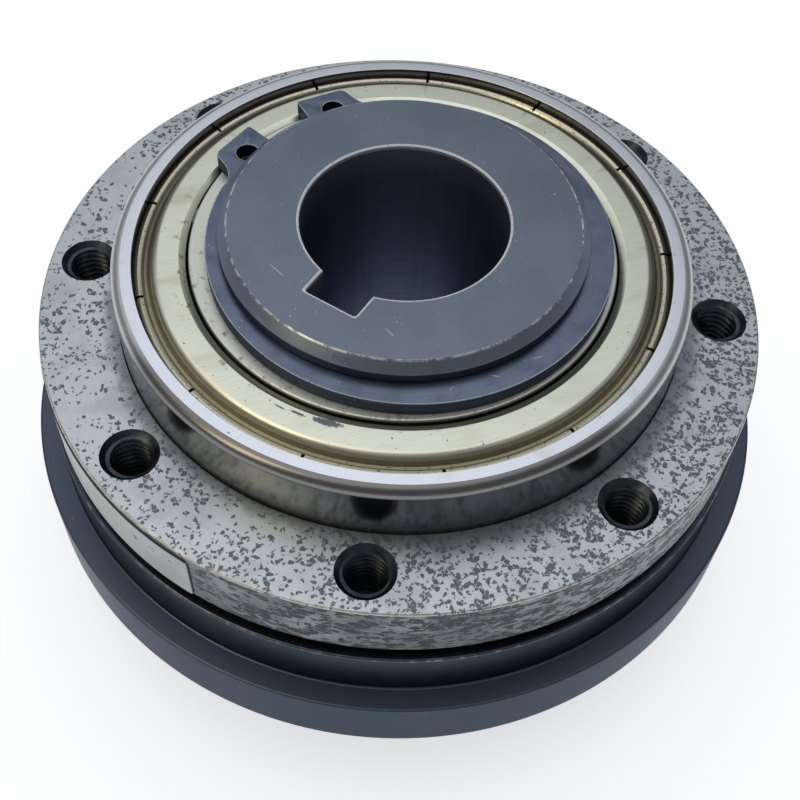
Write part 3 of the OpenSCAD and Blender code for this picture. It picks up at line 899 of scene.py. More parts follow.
@dataclass(frozen=True)
class ShieldSheet(Finish):
    """Pressed sheet steel, tumbled and yellowish: a straight rolling grain, oil varnish at the left and
    front, and painted shade and light on its pressed edge.
    """

    colour: str = "#e0e3d2"
    grain: str = "#b6b8a6"
    cloud: str = "#c3c2ad"
    roll: str = "#bcb8a1"
    glint: str = "#ffffff"
    trough: str = "#8d8871"
    bead: str = "#cbc8b6"
    seam: str = "#6f6a5c"
    oil_and_shade: str = "#66645a"
    back_shade: str = "#34322b"
    paler: str = "#f2eed8"
    dust_and_painted_light: str = "#6b6350"
    dark_line: str = "#5c543f"
    varnish: str = "#a3905f"
    smear: str = "#767b84"
    pit: str = "#6f6c58"
    strip_deg: float = 52.0
    flat_r: float = 23.80
    roll_r: float = 26.45
    trough_r: float = 27.20
    bead_r: float = 27.98
    seam_r: float = 28.33
    # Grey smears on the flat beside the snap ring, in front.
    smears: tuple[Mark, ...] = (Mark(6.2, -23.35, 1.6, 0.42, 16), Mark(3.3, -24.05, 0.9, 0.16, 7),
                                Mark(1.4, -24.4, 0.7, 0.10, 3))

    def pressed_edge(self, s: Surface) -> None:
        """Lays the painted tones of the pressed edge: shade on the roll, in the trough and in the seam
        outside it, and a highlight on the bead.

        Args:
            s: the surface being made.
        """
        # Painted shade on the roll, in the trough and in the seam; painted highlights at the roll's start and
        # on the bead.
        s.lay(s.overlap(s.share(s.radius, self.roll_r + 0.05, self.roll_r + 0.45), 0.85), self.roll, 0.28)
        s.lay(s.overlap(s.near(s.radius, self.roll_r - 0.04, 0.12), 0.7), self.glint, 0.22)
        s.lay(s.near(s.radius, self.trough_r, 0.42), self.trough, 0.40)
        s.lay(s.near(s.radius, self.bead_r, 0.22), self.bead, 0.36)
        s.lay(s.overlap(s.share(s.radius, self.seam_r - 0.07, self.seam_r + 0.07), 0.8), self.seam, 0.5)
        # Painted shade darkens the roll and the trough, most of all at the back; in front they are painted
        # paler, as light.
        front = s.towards(*FRONT)
        pressed = s.overlap(s.share(s.radius, self.roll_r - 0.55, self.roll_r - 0.25),
                            s.share(s.radius, self.trough_r + 0.5, self.trough_r + 0.3))
        behind_mask = s.overlap(s.share(front, 14.0, 2.0), pressed)
        s.lay(s.overlap(behind_mask, 0.75), self.oil_and_shade, 0.42)
        s.lay(s.overlap(behind_mask, s.share(front, -4.0, -16.0), 0.75), self.back_shade, 0.5)
        roll = s.overlap(s.share(s.radius, self.roll_r - 0.35, self.roll_r - 0.15),
                         s.share(s.radius, self.trough_r - 0.1, self.trough_r - 0.4))
        s.lay(s.overlap(s.share(front, 14.0, 20.0), roll, 0.8), self.paler, 0.40)

    def make(self) -> bpy.types.Material:
        """Builds the material's nodes.

        Returns:
            The material.
        """
        s = Surface("tumbled_sheet_steel", self.colour, 0.30, 1.0)
        # Rolling grain of the strip, about 0.03 mm wide, drawn at 0.09 mm.
        grain = s.grain(0.09, (26, 1, 1), 3, turn_deg=self.strip_deg)
        s.lay(s.overlap(s.share(grain, 0.50, 0.74), 0.45), self.grain)
        s.relief(grain, 0.0014)
        clouds = s.patches(6.0, 0.50, 0.72, (2.2, 1, 1), 4, 3.0, self.strip_deg)
        s.lay(s.overlap(clouds, 0.55), self.cloud, 0.36)
        self.pressed_edge(s)
        outside_trough = s.share(s.radius, self.trough_r - 0.15, self.trough_r + 0.1)
        dust_and_painted_light = s.patches(0.35, 0.58, 0.70, detail=4, seed=6.0)
        s.lay(s.overlap(dust_and_painted_light, outside_trough), self.dust_and_painted_light, 0.6, 0.6)
        # Painted shade: a dark line along the inner side of the trough.
        s.lay(s.overlap(s.near(s.radius, self.trough_r - 0.28, 0.10), 0.6), self.dark_line, 0.5)
        # Oil varnish creeping from the inner edge at the left and front.
        left_front = s.share(s.towards(1, 1), -14.0, -26.0)
        creeping = s.overlap(left_front, s.share(s.radius, self.flat_r + 1.4, self.flat_r))
        s.lay(s.overlap(creeping, s.patches(1.2, 0.57, 0.70, detail=5, seed=2.0)), self.varnish, 0.42, 0.8)
        for smear in self.smears:
            s.lay(s.blot(smear), self.smear, 0.5, 0.7)
        s.lay(s.patches(0.4, 0.75, 0.78, detail=1, seed=7.0), self.pit, 0.5)
        return s.done()


@dataclass(frozen=True)
class NotchShade(Finish):
    """Painted shade for a narrow gap: black and dull."""

    colour: str = "#1c1b19"
    dust_and_painted_light: str = "#2e2b25"

    def make(self) -> bpy.types.Material:
        """Builds the material's nodes.

        Returns:
            The material.
        """
        s = Surface("painted_notch_shade", self.colour, 0.75, 0.0)
        s.lay(s.patches(0.3, 0.4, 0.65), self.dust_and_painted_light)
        s.relief(s.grain(0.2), 0.03)
        return s.done()


@dataclass(frozen=True)
class FlakeSheet:
    """One size of flakes: width of a flake, share of the surface's cells that are flakes, and seed."""

    size_mm: float
    cover: float
    seed: float


@dataclass(frozen=True)
class FlakedFlange(Finish):
    """Turned steel whose old oxide skin has broken into angular dark flakes, with fine circles between."""

    name: str = "flaked_ground_steel"
    colour: str = "#c8ced3"
    flake: str = "#70777d"
    roughness: float = 0.40
    sheets: tuple[FlakeSheet, ...] = (FlakeSheet(0.52, 0.13, 0.0), FlakeSheet(0.34, 0.13, 11.0))
    stretch: tuple[float, float, float] = (1, 1, 1)
    line: str = "#a9b1ba"
    cloud: str = "#a3abb4"
    lit_right_side: str | None = None
    bearing_foot_band: str | None = "#7b8188"
    worn: str = "#b2b3a9"
    rim_r: float = 39.6
    face: float = 35.75

    def make(self) -> bpy.types.Material:
        """Builds the material's nodes.

        Returns:
            The material.
        """
        s = Surface(self.name, self.colour, self.roughness, 1.0)
        # Tool circles of 0.05 mm, drawn at 0.18 mm.
        lines = s.turning(0.18)
        s.lay(s.overlap(s.share(lines, 0.46, 0.72), 0.30), self.line)
        s.relief(lines, 0.002)
        s.lay(s.overlap(s.patches(5.0, 0.46, 0.66, detail=5, seed=4.0), 0.40), self.cloud, 0.46)
        # Painted light: the side towards +X is lighter.
        if self.lit_right_side is not None:
            s.lay(s.overlap(s.share(s.x, 27.0, 39.0), 0.7), self.lit_right_side, 0.36)
        for sheet in self.sheets:
            s.lay(s.flakes(sheet.size_mm, sheet.cover, self.stretch, sheet.seed), self.flake, 0.52)
        if self.bearing_foot_band is not None:
            # Round the bearing's foot the face is darker, in a band with a ragged edge that reaches further
            # out at the right.
            ragged = s.grain(1.3, detail=4, seed=9.0)
            far = s.add("Math", {0: ragged, 1: 3.4, 2: s.radius}, operation="MULTIPLY_ADD")
            right = s.share(s.x, 5.0, 30.0)
            far = s.add("Math", {0: right, 1: -0.9, 2: far}, operation="MULTIPLY_ADD")
            s.lay(s.overlap(s.share(far, 35.0, 32.9), 0.75), self.bearing_foot_band, 0.5)
        edge = s.overlap(s.near(s.radius, self.rim_r - 0.08, 0.20), s.near(s.height, self.face - 0.07, 0.3))
        s.lay(s.overlap(edge, s.patches(0.9, 0.40, 0.56, detail=4, seed=3.0)), self.worn, 0.42)
        return s.done()


@dataclass(frozen=True)
class TappedHole(Finish):
    """Blacked thread with cutting oil left in it: dark flanks whose crests catch a little light."""

    colour: str = "#474d56"
    oil_and_shade: str = "#3a3d43"

    def make(self) -> bpy.types.Material:
        """Builds the material's nodes.

        Returns:
            The material.
        """
        s = Surface("oiled_black_thread", self.colour, 0.36, 1.0)
        s.lay(s.patches(1.6, 0.40, 0.66, detail=2), self.oil_and_shade, 0.42)
        return s.done()


@dataclass(frozen=True)
class LabelFilm(Finish):
    """Blank polyester label film, pale grey-green with a thin dark border and a few nicks from handling."""

    low: float
    high: float
    ends_deg: tuple[float, float]
    colour: str = "#dae2dc"
    cloud: str = "#b3bcb4"
    border: str = "#50574f"
    dent: str = "#3c423b"
    nick: str = "#6c736b"
    # Direction and height of each of the two dark dents near the label's right-hand end.
    dents: tuple[tuple[float, float], ...] = ((264.6, 32.6), (261.0, 32.2))

    def make(self) -> bpy.types.Material:
        """Builds the material's nodes.

        Returns:
            The material.
        """
        s = Surface("polyester_label_film", self.colour, 0.34, 0.0)
        s.lay(s.overlap(s.patches(5.0, 0.44, 0.68, detail=4), 0.5), self.cloud)
        s.relief(s.grain(0.8, detail=2), 0.004)
        # The border lies 0.04 mm inside the long edges, and 0.0012 radians, 0.05 mm, inside the ends.
        for edge in (self.low + 0.04, self.high - 0.04):
            s.lay(s.near(s.height, edge, 0.14), self.border, 0.42)
        turn = s.add("Math", {0: s.y, 1: s.x}, operation="ARCTAN2")
        for end_deg, inwards in zip(self.ends_deg, (0.0012, -0.0012)):
            s.lay(s.near(turn, math.radians(end_deg - 360) + inwards, 0.0030), self.border, 0.42)
        for turn_deg, height in self.dents:
            side = s.near(turn, math.radians(turn_deg - 360), 0.014)
            place = s.overlap(side, s.near(s.height, height, 0.5))
            s.lay(s.overlap(place, s.patches(0.45, 0.46, 0.58, detail=3, seed=turn_deg)), self.dent, 0.5)
        s.lay(s.patches(0.55, 0.725, 0.75, detail=2, seed=5.0), self.nick, 0.5)
        return s.done()


@dataclass(frozen=True)
class OiledBlackRing(Finish):
    """Black oxide over turned steel, wiped with oil: navy black, satin, with tool circles and pale scuffs."""

    colour: str = "#4d545c"
    glance: str = "#c0c4cc"
    line: str = "#383e46"
    cloud: str = "#545b65"
    worn: str = "#7c848e"
    dust_and_painted_light: str = "#525a69"
    speck: str = "#868d95"
    # Radius and height of each edge that is worn.
    edges: tuple[tuple[float, float], ...] = ((42.5, 19.5), (42.5, 12.2), (39.95, 26.2))
    disc_top: float = 19.70
    skirt_r: float = 40.05

    def make(self) -> bpy.types.Material:
        """Builds the material's nodes.

        Returns:
            The material.
        """
        s = Surface("oiled_black_oxide_steel", self.colour, 0.30, 1.0, self.glance)
        # Tool circles of 0.08 mm, drawn at 0.22 mm.
        lines = s.turning(0.22)
        s.lay(s.overlap(s.share(lines, 0.46, 0.72), 0.35), self.line, 0.36)
        s.relief(lines, 0.003)
        s.lay(s.overlap(s.patches(9.0, 0.48, 0.66, detail=4, seed=6.0), 0.5), self.cloud, 0.38)
        for radius, height in self.edges:
            edge = s.overlap(s.near(s.radius, radius, 0.16), s.near(s.height, height, 0.2))
            rubbed = s.patches(1.1, 0.50, 0.70, detail=4, seed=radius + height)
            s.lay(s.overlap(edge, rubbed), self.worn, 0.34)
        # Painted light: the disc's face is a little paler, for the light that it takes.
        level = s.overlap(s.share(s.height, self.disc_top - 0.25, self.disc_top - 0.10),
                          s.share(s.height, self.disc_top + 0.5, self.disc_top + 0.2))
        outside = s.share(s.radius, self.skirt_r + 0.05, self.skirt_r + 0.25)
        s.lay(s.overlap(level, outside), self.dust_and_painted_light, 0.42)
        s.lay(s.patches(0.3, 0.765, 0.795, detail=1, seed=2.0), self.speck, 0.4)
        return s.done()


@dataclass(frozen=True)
class PlainMetal(Finish):
    """Clean metal of the hidden parts, in a tone and polish that suit how each was made."""

    name: str
    colour: str
    roughness: float
    line_mm: float
    shade: str

    def make(self) -> bpy.types.Material:
        """Builds the material's nodes.

        Returns:
            The material.
        """
        s = Surface(self.name, self.colour, self.roughness, 1.0)
        lines = s.turning(self.line_mm)
        s.lay(s.overlap(s.share(lines, 0.48, 0.72), 0.3), self.shade)
        s.lay(s.overlap(s.patches(2.0, 0.5, 0.7, detail=4), 0.4), self.shade, self.roughness + 0.1)
        s.relief(lines, 0.001)
        return s.done()


HUB_OXIDE = BlackedHub()
BORE_LIP = WornEdgeHighlight()
BORE_OXIDE = BlackedBore()
SPRING_STEEL = PhosphatedSpring()
# The snap ring's rounded edge: pale, partly as a painted highlight along it.
PUNCHED_EDGE_HIGHLIGHT = WornEdgeHighlight("#c3c8ce", "#7d8796")
SHIELD_STEEL = ShieldSheet()
NOTCH_SHADE = NotchShade()
FLANGE_FACE = FlakedFlange()
# The rim is painted darker than the face, as shade on the upright wall, and lighter towards +X, as light; its
# flakes lie along it and run together.
FLANGE_RIM = FlakedFlange("flaked_ground_rim", "#585d61", "#414649", 0.32,
                          (FlakeSheet(0.95, 0.38, 0.0), FlakeSheet(0.50, 0.16, 11.0)), (1.5, 1.5, 0.62),
                          lit_right_side="#93999f", bearing_foot_band=None)
THREAD_BLACK = TappedHole()
RING_BLACK = OiledBlackRing()
# Lapped, bright; pressed from strip, dull; hardened and ground; ground; blacked; turned.
BALL_STEEL = PlainMetal("polished_ball_steel", "#dfe1e4", 0.07, 0.4, "#c4c7cb")
CAGE_STEEL = PlainMetal("pressed_cage_steel", "#b4b5ac", 0.34, 0.12, "#8e8f84")
WASHER_STEEL = PlainMetal("hardened_washer_steel", "#9a9da3", 0.30, 0.14, "#7b7f86")
PIN_STEEL = PlainMetal("ground_dowel_steel", "#c3c7cc", 0.20, 0.10, "#a3a8ae")
SCREW_STEEL = PlainMetal("blacked_set_screw_steel", "#555b66", 0.36, 0.2, "#3f444d")
PAD_BRASS = PlainMetal("turned_brass", "#d3b264", 0.28, 0.16, "#a98a45")


class Body(Enum):
    """Bodies that new pieces ride, each moving as one."""

    HUB = "hub"
    FLANGE = "flange"
    TRIP_RING = "trip_ring"
    SPRING_SEAT = "spring_seat"
    NUT = "nut"


def stand_for(piece: bpy.types.Object, node: str, body: Body | None) -> None:
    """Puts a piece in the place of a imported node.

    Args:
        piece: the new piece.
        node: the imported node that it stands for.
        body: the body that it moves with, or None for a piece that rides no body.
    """
    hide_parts(node)
    if body is not None:
        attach(piece, body.value)
    LOG.info("%s stands for %s, %d faces", piece.name, node, len(piece.data.polygons))


def dress(node: str, finish: Finish) -> None:
    """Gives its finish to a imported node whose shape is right.

    Args:
        node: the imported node.
        finish: its finish.
    """
    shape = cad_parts[node].data
    if not shape.materials:
        shape.materials.append(None)
    for k in range(len(shape.materials)):
        shape.materials[k] = material_of(finish)
    LOG.info("%s keeps its packed shape, finish %s", node, type(finish).__name__)


class HubSkin(IntEnum):
    """Order of the hub's finishes."""

    OXIDE = 0
    LIP = 1
    BORE = 2


@dataclass
class Hub:
    """Keyed hub with its ball carrier, bearing seat, snap-ring groove and rear thread."""

    length: float = 47.0
    bore_r: float = 11.0
    key_width: float = 6.0
    key_floor: float = 13.8
    key_deg: float = 270.0
    # Distances outwards and inwards of the bore's worn lip, its bevel, and its smooth start; the lip and the
    # bevel are pale, partly as a painted highlight.
    edge: tuple[tuple[float, float], ...] = ((0.28, 0.0), (0.20, 0.0), (0.04, 0.12), (0.0, 0.50))
    nose_r: float = 19.55
    # Worn bevel of the nose, from its sharp corner: distances inwards and down.
    nose_bevel: tuple[tuple[float, float], ...] = (
        (1.05, 0.0), (0.97, 0.07), (0.91, 0.12), (0.03, 0.98), (0.0, 1.08))
    groove_r: float = 18.75
    groove_top: float = 44.85
    groove_bevel: float = 0.08
    seat_r: float = 19.99
    seat_top: float = 43.0
    seat_foot: float = 30.98
    shoulder_r: float = 22.0
    carrier_r: float = 33.0
    carrier: tuple[float, float] = (20.75, 26.35)
    carrier_bevel: float = 0.4
    carrier_round: float = 0.15
    guide_r: float = 21.0
    guide_foot_bevel: float = 0.3
    guide_foot_round: float = 0.1
    ball_circle: float = 28.0
    ball_hole_r: float = 4.05
    balls: int = 8
    pin_hole_r: float = 2.01
    pin_depth: float = 25.27
    pins: int = 4
    first_pin_deg: float = 22.5
    thread_r: float = 20.0
    thread_end: float = 11.75
    thread_pitch: float = 1.5
    thread_depth: float = 0.8
    thread_runout: float = 0.4
    thread_foot: float = 1.0
    foot_r: float = 19.0
    foot_bevel: float = 0.15

    def thread_loops(self, around_points: list[Vector]) -> list[list[Vector]]:
        """Loops of the rear thread, from its upper end down.

        Args:
            around_points: outline whose directions the loops share.

        Returns:
            The loops.
        """
        # There are eight loops to a pitch.
        step = self.thread_pitch / 8
        top = self.thread_end - self.thread_runout
        turns = [math.atan2(point.y, point.x) for point in around_points]
        loops = []
        for k in range(int((top - self.thread_foot) / step) + 1):
            z = top - step * k
            depths = [helix_depth(a, z, self.thread_pitch, self.thread_depth) for a in turns]
            loops.append([point_at(self.thread_r - depth, a, z) for a, depth in zip(turns, depths)])
        return loops

    def bore_loops(self, keyway: list[Slot]) -> list[tuple[list[Vector], HubSkin]]:
        """Loops of the keyed bore from the rear face to the nose, each with the finish of the band after it.

        Args:
            keyway: the bore's one slot.

        Returns:
            The loops and finishes.
        """
        lip, oxide, bore = HubSkin.LIP, HubSkin.OXIDE, HubSkin.BORE
        rear = [slotted_circle(self.bore_r, keyway, depth, grow) for grow, depth in self.edge]
        front = [slotted_circle(self.bore_r, keyway, self.length - depth, grow) for grow, depth in self.edge]
        return list(zip(rear, (lip, lip, oxide, bore))) + list(zip(front[::-1], (bore, lip, lip, oxide)))

    def outside(self) -> list[Corner]:
        """Outline of the hub from the nose's bevel down to the start of the thread.

        Returns:
            Its corners, with the roundings drawn.
        """
        low, high = self.carrier
        bevel, soft = self.carrier_bevel, self.carrier_round
        corners = [Corner(self.nose_r - across, self.length - down) for across, down in self.nose_bevel]
        corners += [Corner(self.nose_r, self.groove_top + self.groove_bevel),
                    Corner(self.nose_r - self.groove_bevel, self.groove_top),
                    Corner(self.groove_r, self.groove_top), Corner(self.groove_r, self.seat_top),
                    Corner(self.seat_r, self.seat_top), Corner(self.seat_r, self.seat_foot),
                    Corner(self.shoulder_r, self.seat_foot), Corner(self.shoulder_r, high)]
        corners += [Corner(self.carrier_r - bevel, high, soft), Corner(self.carrier_r, high - bevel, soft),
                    Corner(self.carrier_r, low + bevel, soft), Corner(self.carrier_r - bevel, low, soft)]
        corners += [Corner(self.guide_r, low),
                    Corner(self.guide_r, self.thread_end + self.guide_foot_bevel, self.guide_foot_round),
                    Corner(self.guide_r - self.guide_foot_bevel, self.thread_end, self.guide_foot_round)]
        # The thread's own start and the bore's rear end only give the last roundings their directions.
        closing = [Corner(self.thread_r, self.thread_end), Corner(self.foot_r - 1.0, 0.0)]
        return softened(corners + closing)[:-len(closing)]

    def build(self) -> bpy.types.Object:
        """Builds the hub's mesh.

        Returns:
            The hub.
        """
        keyway = [Slot(self.key_deg, self.key_width, self.key_floor)]
        base = slotted_circle(self.bore_r, keyway, 0.0)
        rings = self.bore_loops(keyway)
        rings += [(matching_circle(base, c.r, c.z), HubSkin.OXIDE) for c in self.outside()]
        rings += [(loop, HubSkin.OXIDE) for loop in self.thread_loops(base)]
        for r, z in ((self.foot_r, self.foot_bevel), (self.foot_r - self.foot_bevel, 0.0)):
            rings.append((matching_circle(base, r, z), HubSkin.OXIDE))
        mesh = bmesh.new()
        skin_loops(mesh, [ring for ring, _ in rings], [finish for _, finish in rings], closed=True)
        hub = finished_piece("hub_body", mesh, [HUB_OXIDE, BORE_LIP, BORE_OXIDE])
        low, high = self.carrier
        balls = [plug([Corner(self.ball_hole_r, low - 1), Corner(self.ball_hole_r, high + 1)], place)
                 for place in around(self.balls, 0.0, self.ball_circle)]
        pins = [plug([Corner(self.pin_hole_r, low - 1), Corner(self.pin_hole_r, self.pin_depth)], place, 32)
                for place in around(self.pins, self.first_pin_deg, self.ball_circle)]
        return cut(hub, balls + pins)

    def dress(self) -> None:
        """Puts the hub in place and finishes the pins that it carries."""
        stand_for(self.build(), "hub", Body.HUB)
        dress("guide_pins", PIN_STEEL)


class RingSkin(IntEnum):
    """Order of the snap ring's finishes."""

    STEEL = 0
    EDGE = 1


@dataclass
class RetainingRing:
    """External snap ring in the hub's groove, with two lugs that have holes for pliers."""

    inner_r: float = 18.76
    outer_r: float = 21.5
    offset: float = 0.87
    offset_deg: float = 352.0
    gap_deg: float = 161.9
    low: float = 43.05
    high: float = 44.80
    hole_r: float = 1.25
    hole_circle: float = 20.95
    hole_deg: float = 16.5
    bevel: float = 0.10
    # Half of the outline of the lugs: degrees from the middle of the gap, and radius.
    lug: tuple[tuple[float, float], ...] = (
        (8.0, 18.76), (8.0, 23.40), (8.15, 23.62), (8.6, 23.76), (20.6, 23.76), (21.7, 23.62), (22.5, 23.30),
        (24.3, 21.98), (25.4, 21.42), (26.8, 20.98), (28.6, 20.68), (31.0, 20.50))

    def outer_at(self, turn: float) -> float:
        """Radius of the ring's off-centre outer circle in a direction, in radians."""
        lean = turn - math.radians(self.offset_deg)
        across = self.offset * math.sin(lean)
        return self.offset * math.cos(lean) + math.sqrt(self.outer_r ** 2 - across ** 2)

    def outline(self) -> list[tuple[float, float]]:
        """Plan outline of the ring, as one closed line.

        Returns:
            Its points, in millimetres.
        """
        gap = math.radians(self.gap_deg)
        last, first = math.radians(self.lug[-1][0]), math.radians(self.lug[0][0])
        outside, inside = 160, 180
        polar = [(gap + math.radians(a), r) for a, r in self.lug]
        for k in range(1, outside):
            turn = gap + last + (math.tau - 2 * last) * k / outside
            polar.append((turn, self.outer_at(turn)))
        polar += [(gap - math.radians(a), r) for a, r in self.lug[::-1]]
        polar += [(gap - first - (math.tau - 2 * first) * k / inside, self.inner_r) for k in range(1, inside)]
        return [(r * math.cos(a), r * math.sin(a)) for a, r in polar]

    def build(self) -> bpy.types.Object:
        """Builds the ring as a filled plan outline with rounded punched edges.

        Returns:
            The ring.
        """
        plan = bpy.data.curves.new("snap_ring_plan", "CURVE")
        plan.dimensions, plan.fill_mode = "2D", "BOTH"
        half = (self.high - self.low) / 2
        plan.extrude, plan.bevel_depth = (half - self.bevel) * MM, self.bevel * MM
        plan.offset, plan.bevel_resolution = -self.bevel * MM, 2
        holes = []
        for side in (-1, 1):
            turn = math.radians(self.gap_deg + side * self.hole_deg)
            centre = point_at(self.hole_circle, turn)
            holes.append([(centre.x + self.hole_r * math.cos(a), centre.y + self.hole_r * math.sin(a))
                          for a in even_turn(32)])
        for points in [self.outline(), *holes]:
            line = plan.splines.new("POLY")
            line.points.add(len(points) - 1)
            for spot, (x, y) in zip(line.points, points):
                spot.co = (x * MM, y * MM, 0, 1)
            line.use_cyclic_u = True
        blank = put_in_scene("snap_ring_blank", plan)
        shape = evaluated_mesh(blank)
        bpy.data.objects.remove(blank)
        mesh = bmesh.new()
        mesh.from_mesh(shape)
        bmesh.ops.remove_doubles(mesh, verts=mesh.verts, dist=1e-7)
        bmesh.ops.translate(mesh, verts=mesh.verts, vec=(0, 0, (self.low + half) * MM))
        mesh.normal_update()
        for face in mesh.faces:
            # The faces of the rounded upper edge lean between the side and the flat; they are painted pale,
            # as a highlight along the edge.
            face.material_index = RingSkin.EDGE if 0.3 < face.normal.z < 0.97 else RingSkin.STEEL
        return finished_piece("snap_ring", mesh, [SPRING_STEEL, PUNCHED_EDGE_HIGHLIGHT])

    def dress(self) -> None:
        """Puts the ring in place."""
        stand_for(self.build(), "retaining_ring", Body.HUB)


class RaceSkin(IntEnum):
    """Order of the outer ring's finishes."""

    GROUND = 0
    POLISHED = 1


class ShieldSkin(IntEnum):
    """Order of the shield's finishes."""

    SHEET = 0
    NOTCH_SHADE = 1


@dataclass
class Bearing:
    """Deep-groove ball bearing with pressed shields on both sides."""

    low: float = 31.0
    high: float = 43.0
    bore_r: float = 20.0
    bore_round: float = 0.6
    inner_r: float = 22.82
    inner_round: tuple[float, float] = (0.25, 0.27)
    outer_land: float = 27.92
    seat_r: float = 28.70
    seat_depth: float = 2.04
    seat_round: tuple[float, float] = (0.18, 0.05)
    outer_r: float = 31.0
    corner: float = 1.3
    pitch_r: float = 25.5
    groove_r: float = 3.602
    # Radius, height and rounding of each corner of the upper shield's section: the lip, the flat, the roll,
    # the trough, the bead and its foot in the outer ring's seat, and back along the underside.
    shield_section: tuple[tuple[float, float, float], ...] = (
        (23.08, 42.60, 0.05), (23.80, 42.90, 0.30), (26.48, 42.90, 0.60), (26.97, 42.00, 0.20),
        (27.18, 41.72, 0.15), (27.50, 41.70, 0.15), (27.78, 42.00, 0.12), (28.12, 42.10, 0.12),
        (28.48, 41.98, 0.12), (28.69, 41.84, 0.06), (28.69, 40.98, 0.00), (28.03, 40.98, 0.00),
        (27.48, 41.30, 0.10), (27.02, 41.38, 0.10), (26.60, 42.15, 0.20), (26.30, 42.55, 0.10),
        (23.90, 42.55, 0.10), (23.08, 42.36, 0.05))
    notches: int = 13
    first_notch_deg: float = 5.7
    notch_width: float = 0.34
    notch_inner_r: float = 27.81
    notch_floor: float = 41.2
    notch_shade_r: float = 27.72

    def groove(self, sense: int) -> list[Corner]:
        """Ball groove of a ring.

        Args:
            sense: -1 for the inner ring, read upwards, and 1 for the outer one, read downwards.

        Returns:
            Its outline.
        """
        middle = (self.low + self.high) / 2
        land = self.inner_r if sense < 0 else self.outer_land
        reach = math.sqrt(self.groove_r ** 2 - (land - self.pitch_r) ** 2)
        start = math.asin(reach / self.groove_r)
        steps = 12
        turns = [start * (2 * k / steps - 1) for k in range(steps + 1)]
        return [Corner(self.pitch_r + sense * self.groove_r * math.cos(a),
                       middle - sense * self.groove_r * math.sin(a)) for a in turns]

    def inner_ring(self) -> bpy.types.Object:
        """Builds the inner ring.

        Returns:
            The ring.
        """
        below, above = self.inner_round
        corners = [Corner(self.bore_r, self.low, self.bore_round), Corner(self.inner_r, self.low, below),
                   *self.groove(-1), Corner(self.inner_r, self.high, above),
                   Corner(self.bore_r, self.high, self.bore_round)]
        return turned("inner_race", corners, [InnerRace()])

    def outer_ring(self) -> bpy.types.Object:
        """Builds the outer ring, its face ground and its outside polished.

        Returns:
            The ring.
        """
        ground, polished = RaceSkin.GROUND, RaceSkin.POLISHED
        top, bottom = self.high - self.seat_depth, self.low + self.seat_depth
        below, above = self.seat_round
        corners = [Corner(self.outer_r, self.low, self.corner, polished),
                   Corner(self.outer_r, self.high, self.corner, ground),
                   Corner(self.seat_r, self.high, above, polished), Corner(self.seat_r, top),
                   Corner(self.outer_land, top), *self.groove(1), Corner(self.outer_land, bottom),
                   Corner(self.seat_r, bottom), Corner(self.seat_r, self.low, below, polished)]
        return turned("outer_race", corners, [GroundRace(), PolishedRace()], steps=8)

    def notched_turns(self) -> list[tuple[float, bool]]:
        """Directions of the shield's sections, and whether each lies in a notch.

        Returns:
            The directions in order round the axis, in radians.
        """
        half = self.notch_width / 2 / self.outer_land
        turns: list[tuple[float, bool]] = [(a, False) for a in even_turn(260)]
        for k in range(self.notches):
            middle = math.radians(self.first_notch_deg + 360 * k / self.notches) % math.tau
            # A step that comes too close to a notch is dropped, and the notch's walls are all but upright.
            turns = [(a, notched) for a, notched in turns if notched or abs(a - middle) > half * 1.6]
            wall = half * 1.02
            turns += [(middle - wall, False), (middle - half, True)]
            turns += [(middle + half, True), (middle + wall, False)]
        return sorted(turns)

    def shield(self) -> bpy.types.Object:
        """Builds the upper shield, whose bead is broken by narrow notches.

        Returns:
            The shield.
        """
        section = softened([Corner(*corner) for corner in self.shield_section], steps=3)
        turns = self.notched_turns()
        mesh = bmesh.new()
        rows = []
        for a, notched in turns:
            heights = [min(c.z, self.notch_floor) if notched and c.r > self.notch_inner_r else c.z
                       for c in section]
            rows.append([mesh.verts.new(point_at(c.r, a, z) * MM) for c, z in zip(section, heights)])
        for k, (row, (_, notched)) in enumerate(zip(rows, turns)):
            following, next_notched = rows[(k + 1) % len(rows)], turns[(k + 1) % len(turns)][1]
            for i, c in enumerate(section):
                j = (i + 1) % len(section)
                face = mesh.faces.new((row[i], row[j], following[j], following[i]))
                # Painted shade: the faces in the notches' outer part take the black gap finish.
                shaded_notch = (notched or next_notched) and c.r > self.notch_shade_r
                face.material_index = ShieldSkin.NOTCH_SHADE if shaded_notch else ShieldSkin.SHEET
        return finished_piece("front_shield", mesh, [SHIELD_STEEL, NOTCH_SHADE])

    def dress(self) -> None:
        """Puts the bearing's pieces in place and finishes its hidden ones."""
        stand_for(self.inner_ring(), "bearing_inner_ring", Body.HUB)
        stand_for(self.outer_ring(), "bearing_outer_ring", Body.FLANGE)
        stand_for(self.shield(), "bearing_shield_upper", Body.FLANGE)
        dress("bearing_shield_lower", SHIELD_STEEL)
        dress("bearing_balls", BALL_STEEL)
        for node in ("bearing_cage_upper", "bearing_cage_lower", "bearing_cage_rivets"):
            dress(node, CAGE_STEEL)


class FlangeSkin(IntEnum):
    """Order of the flange's finishes."""

    FACE = 0
    RIM = 1
    THREAD = 2


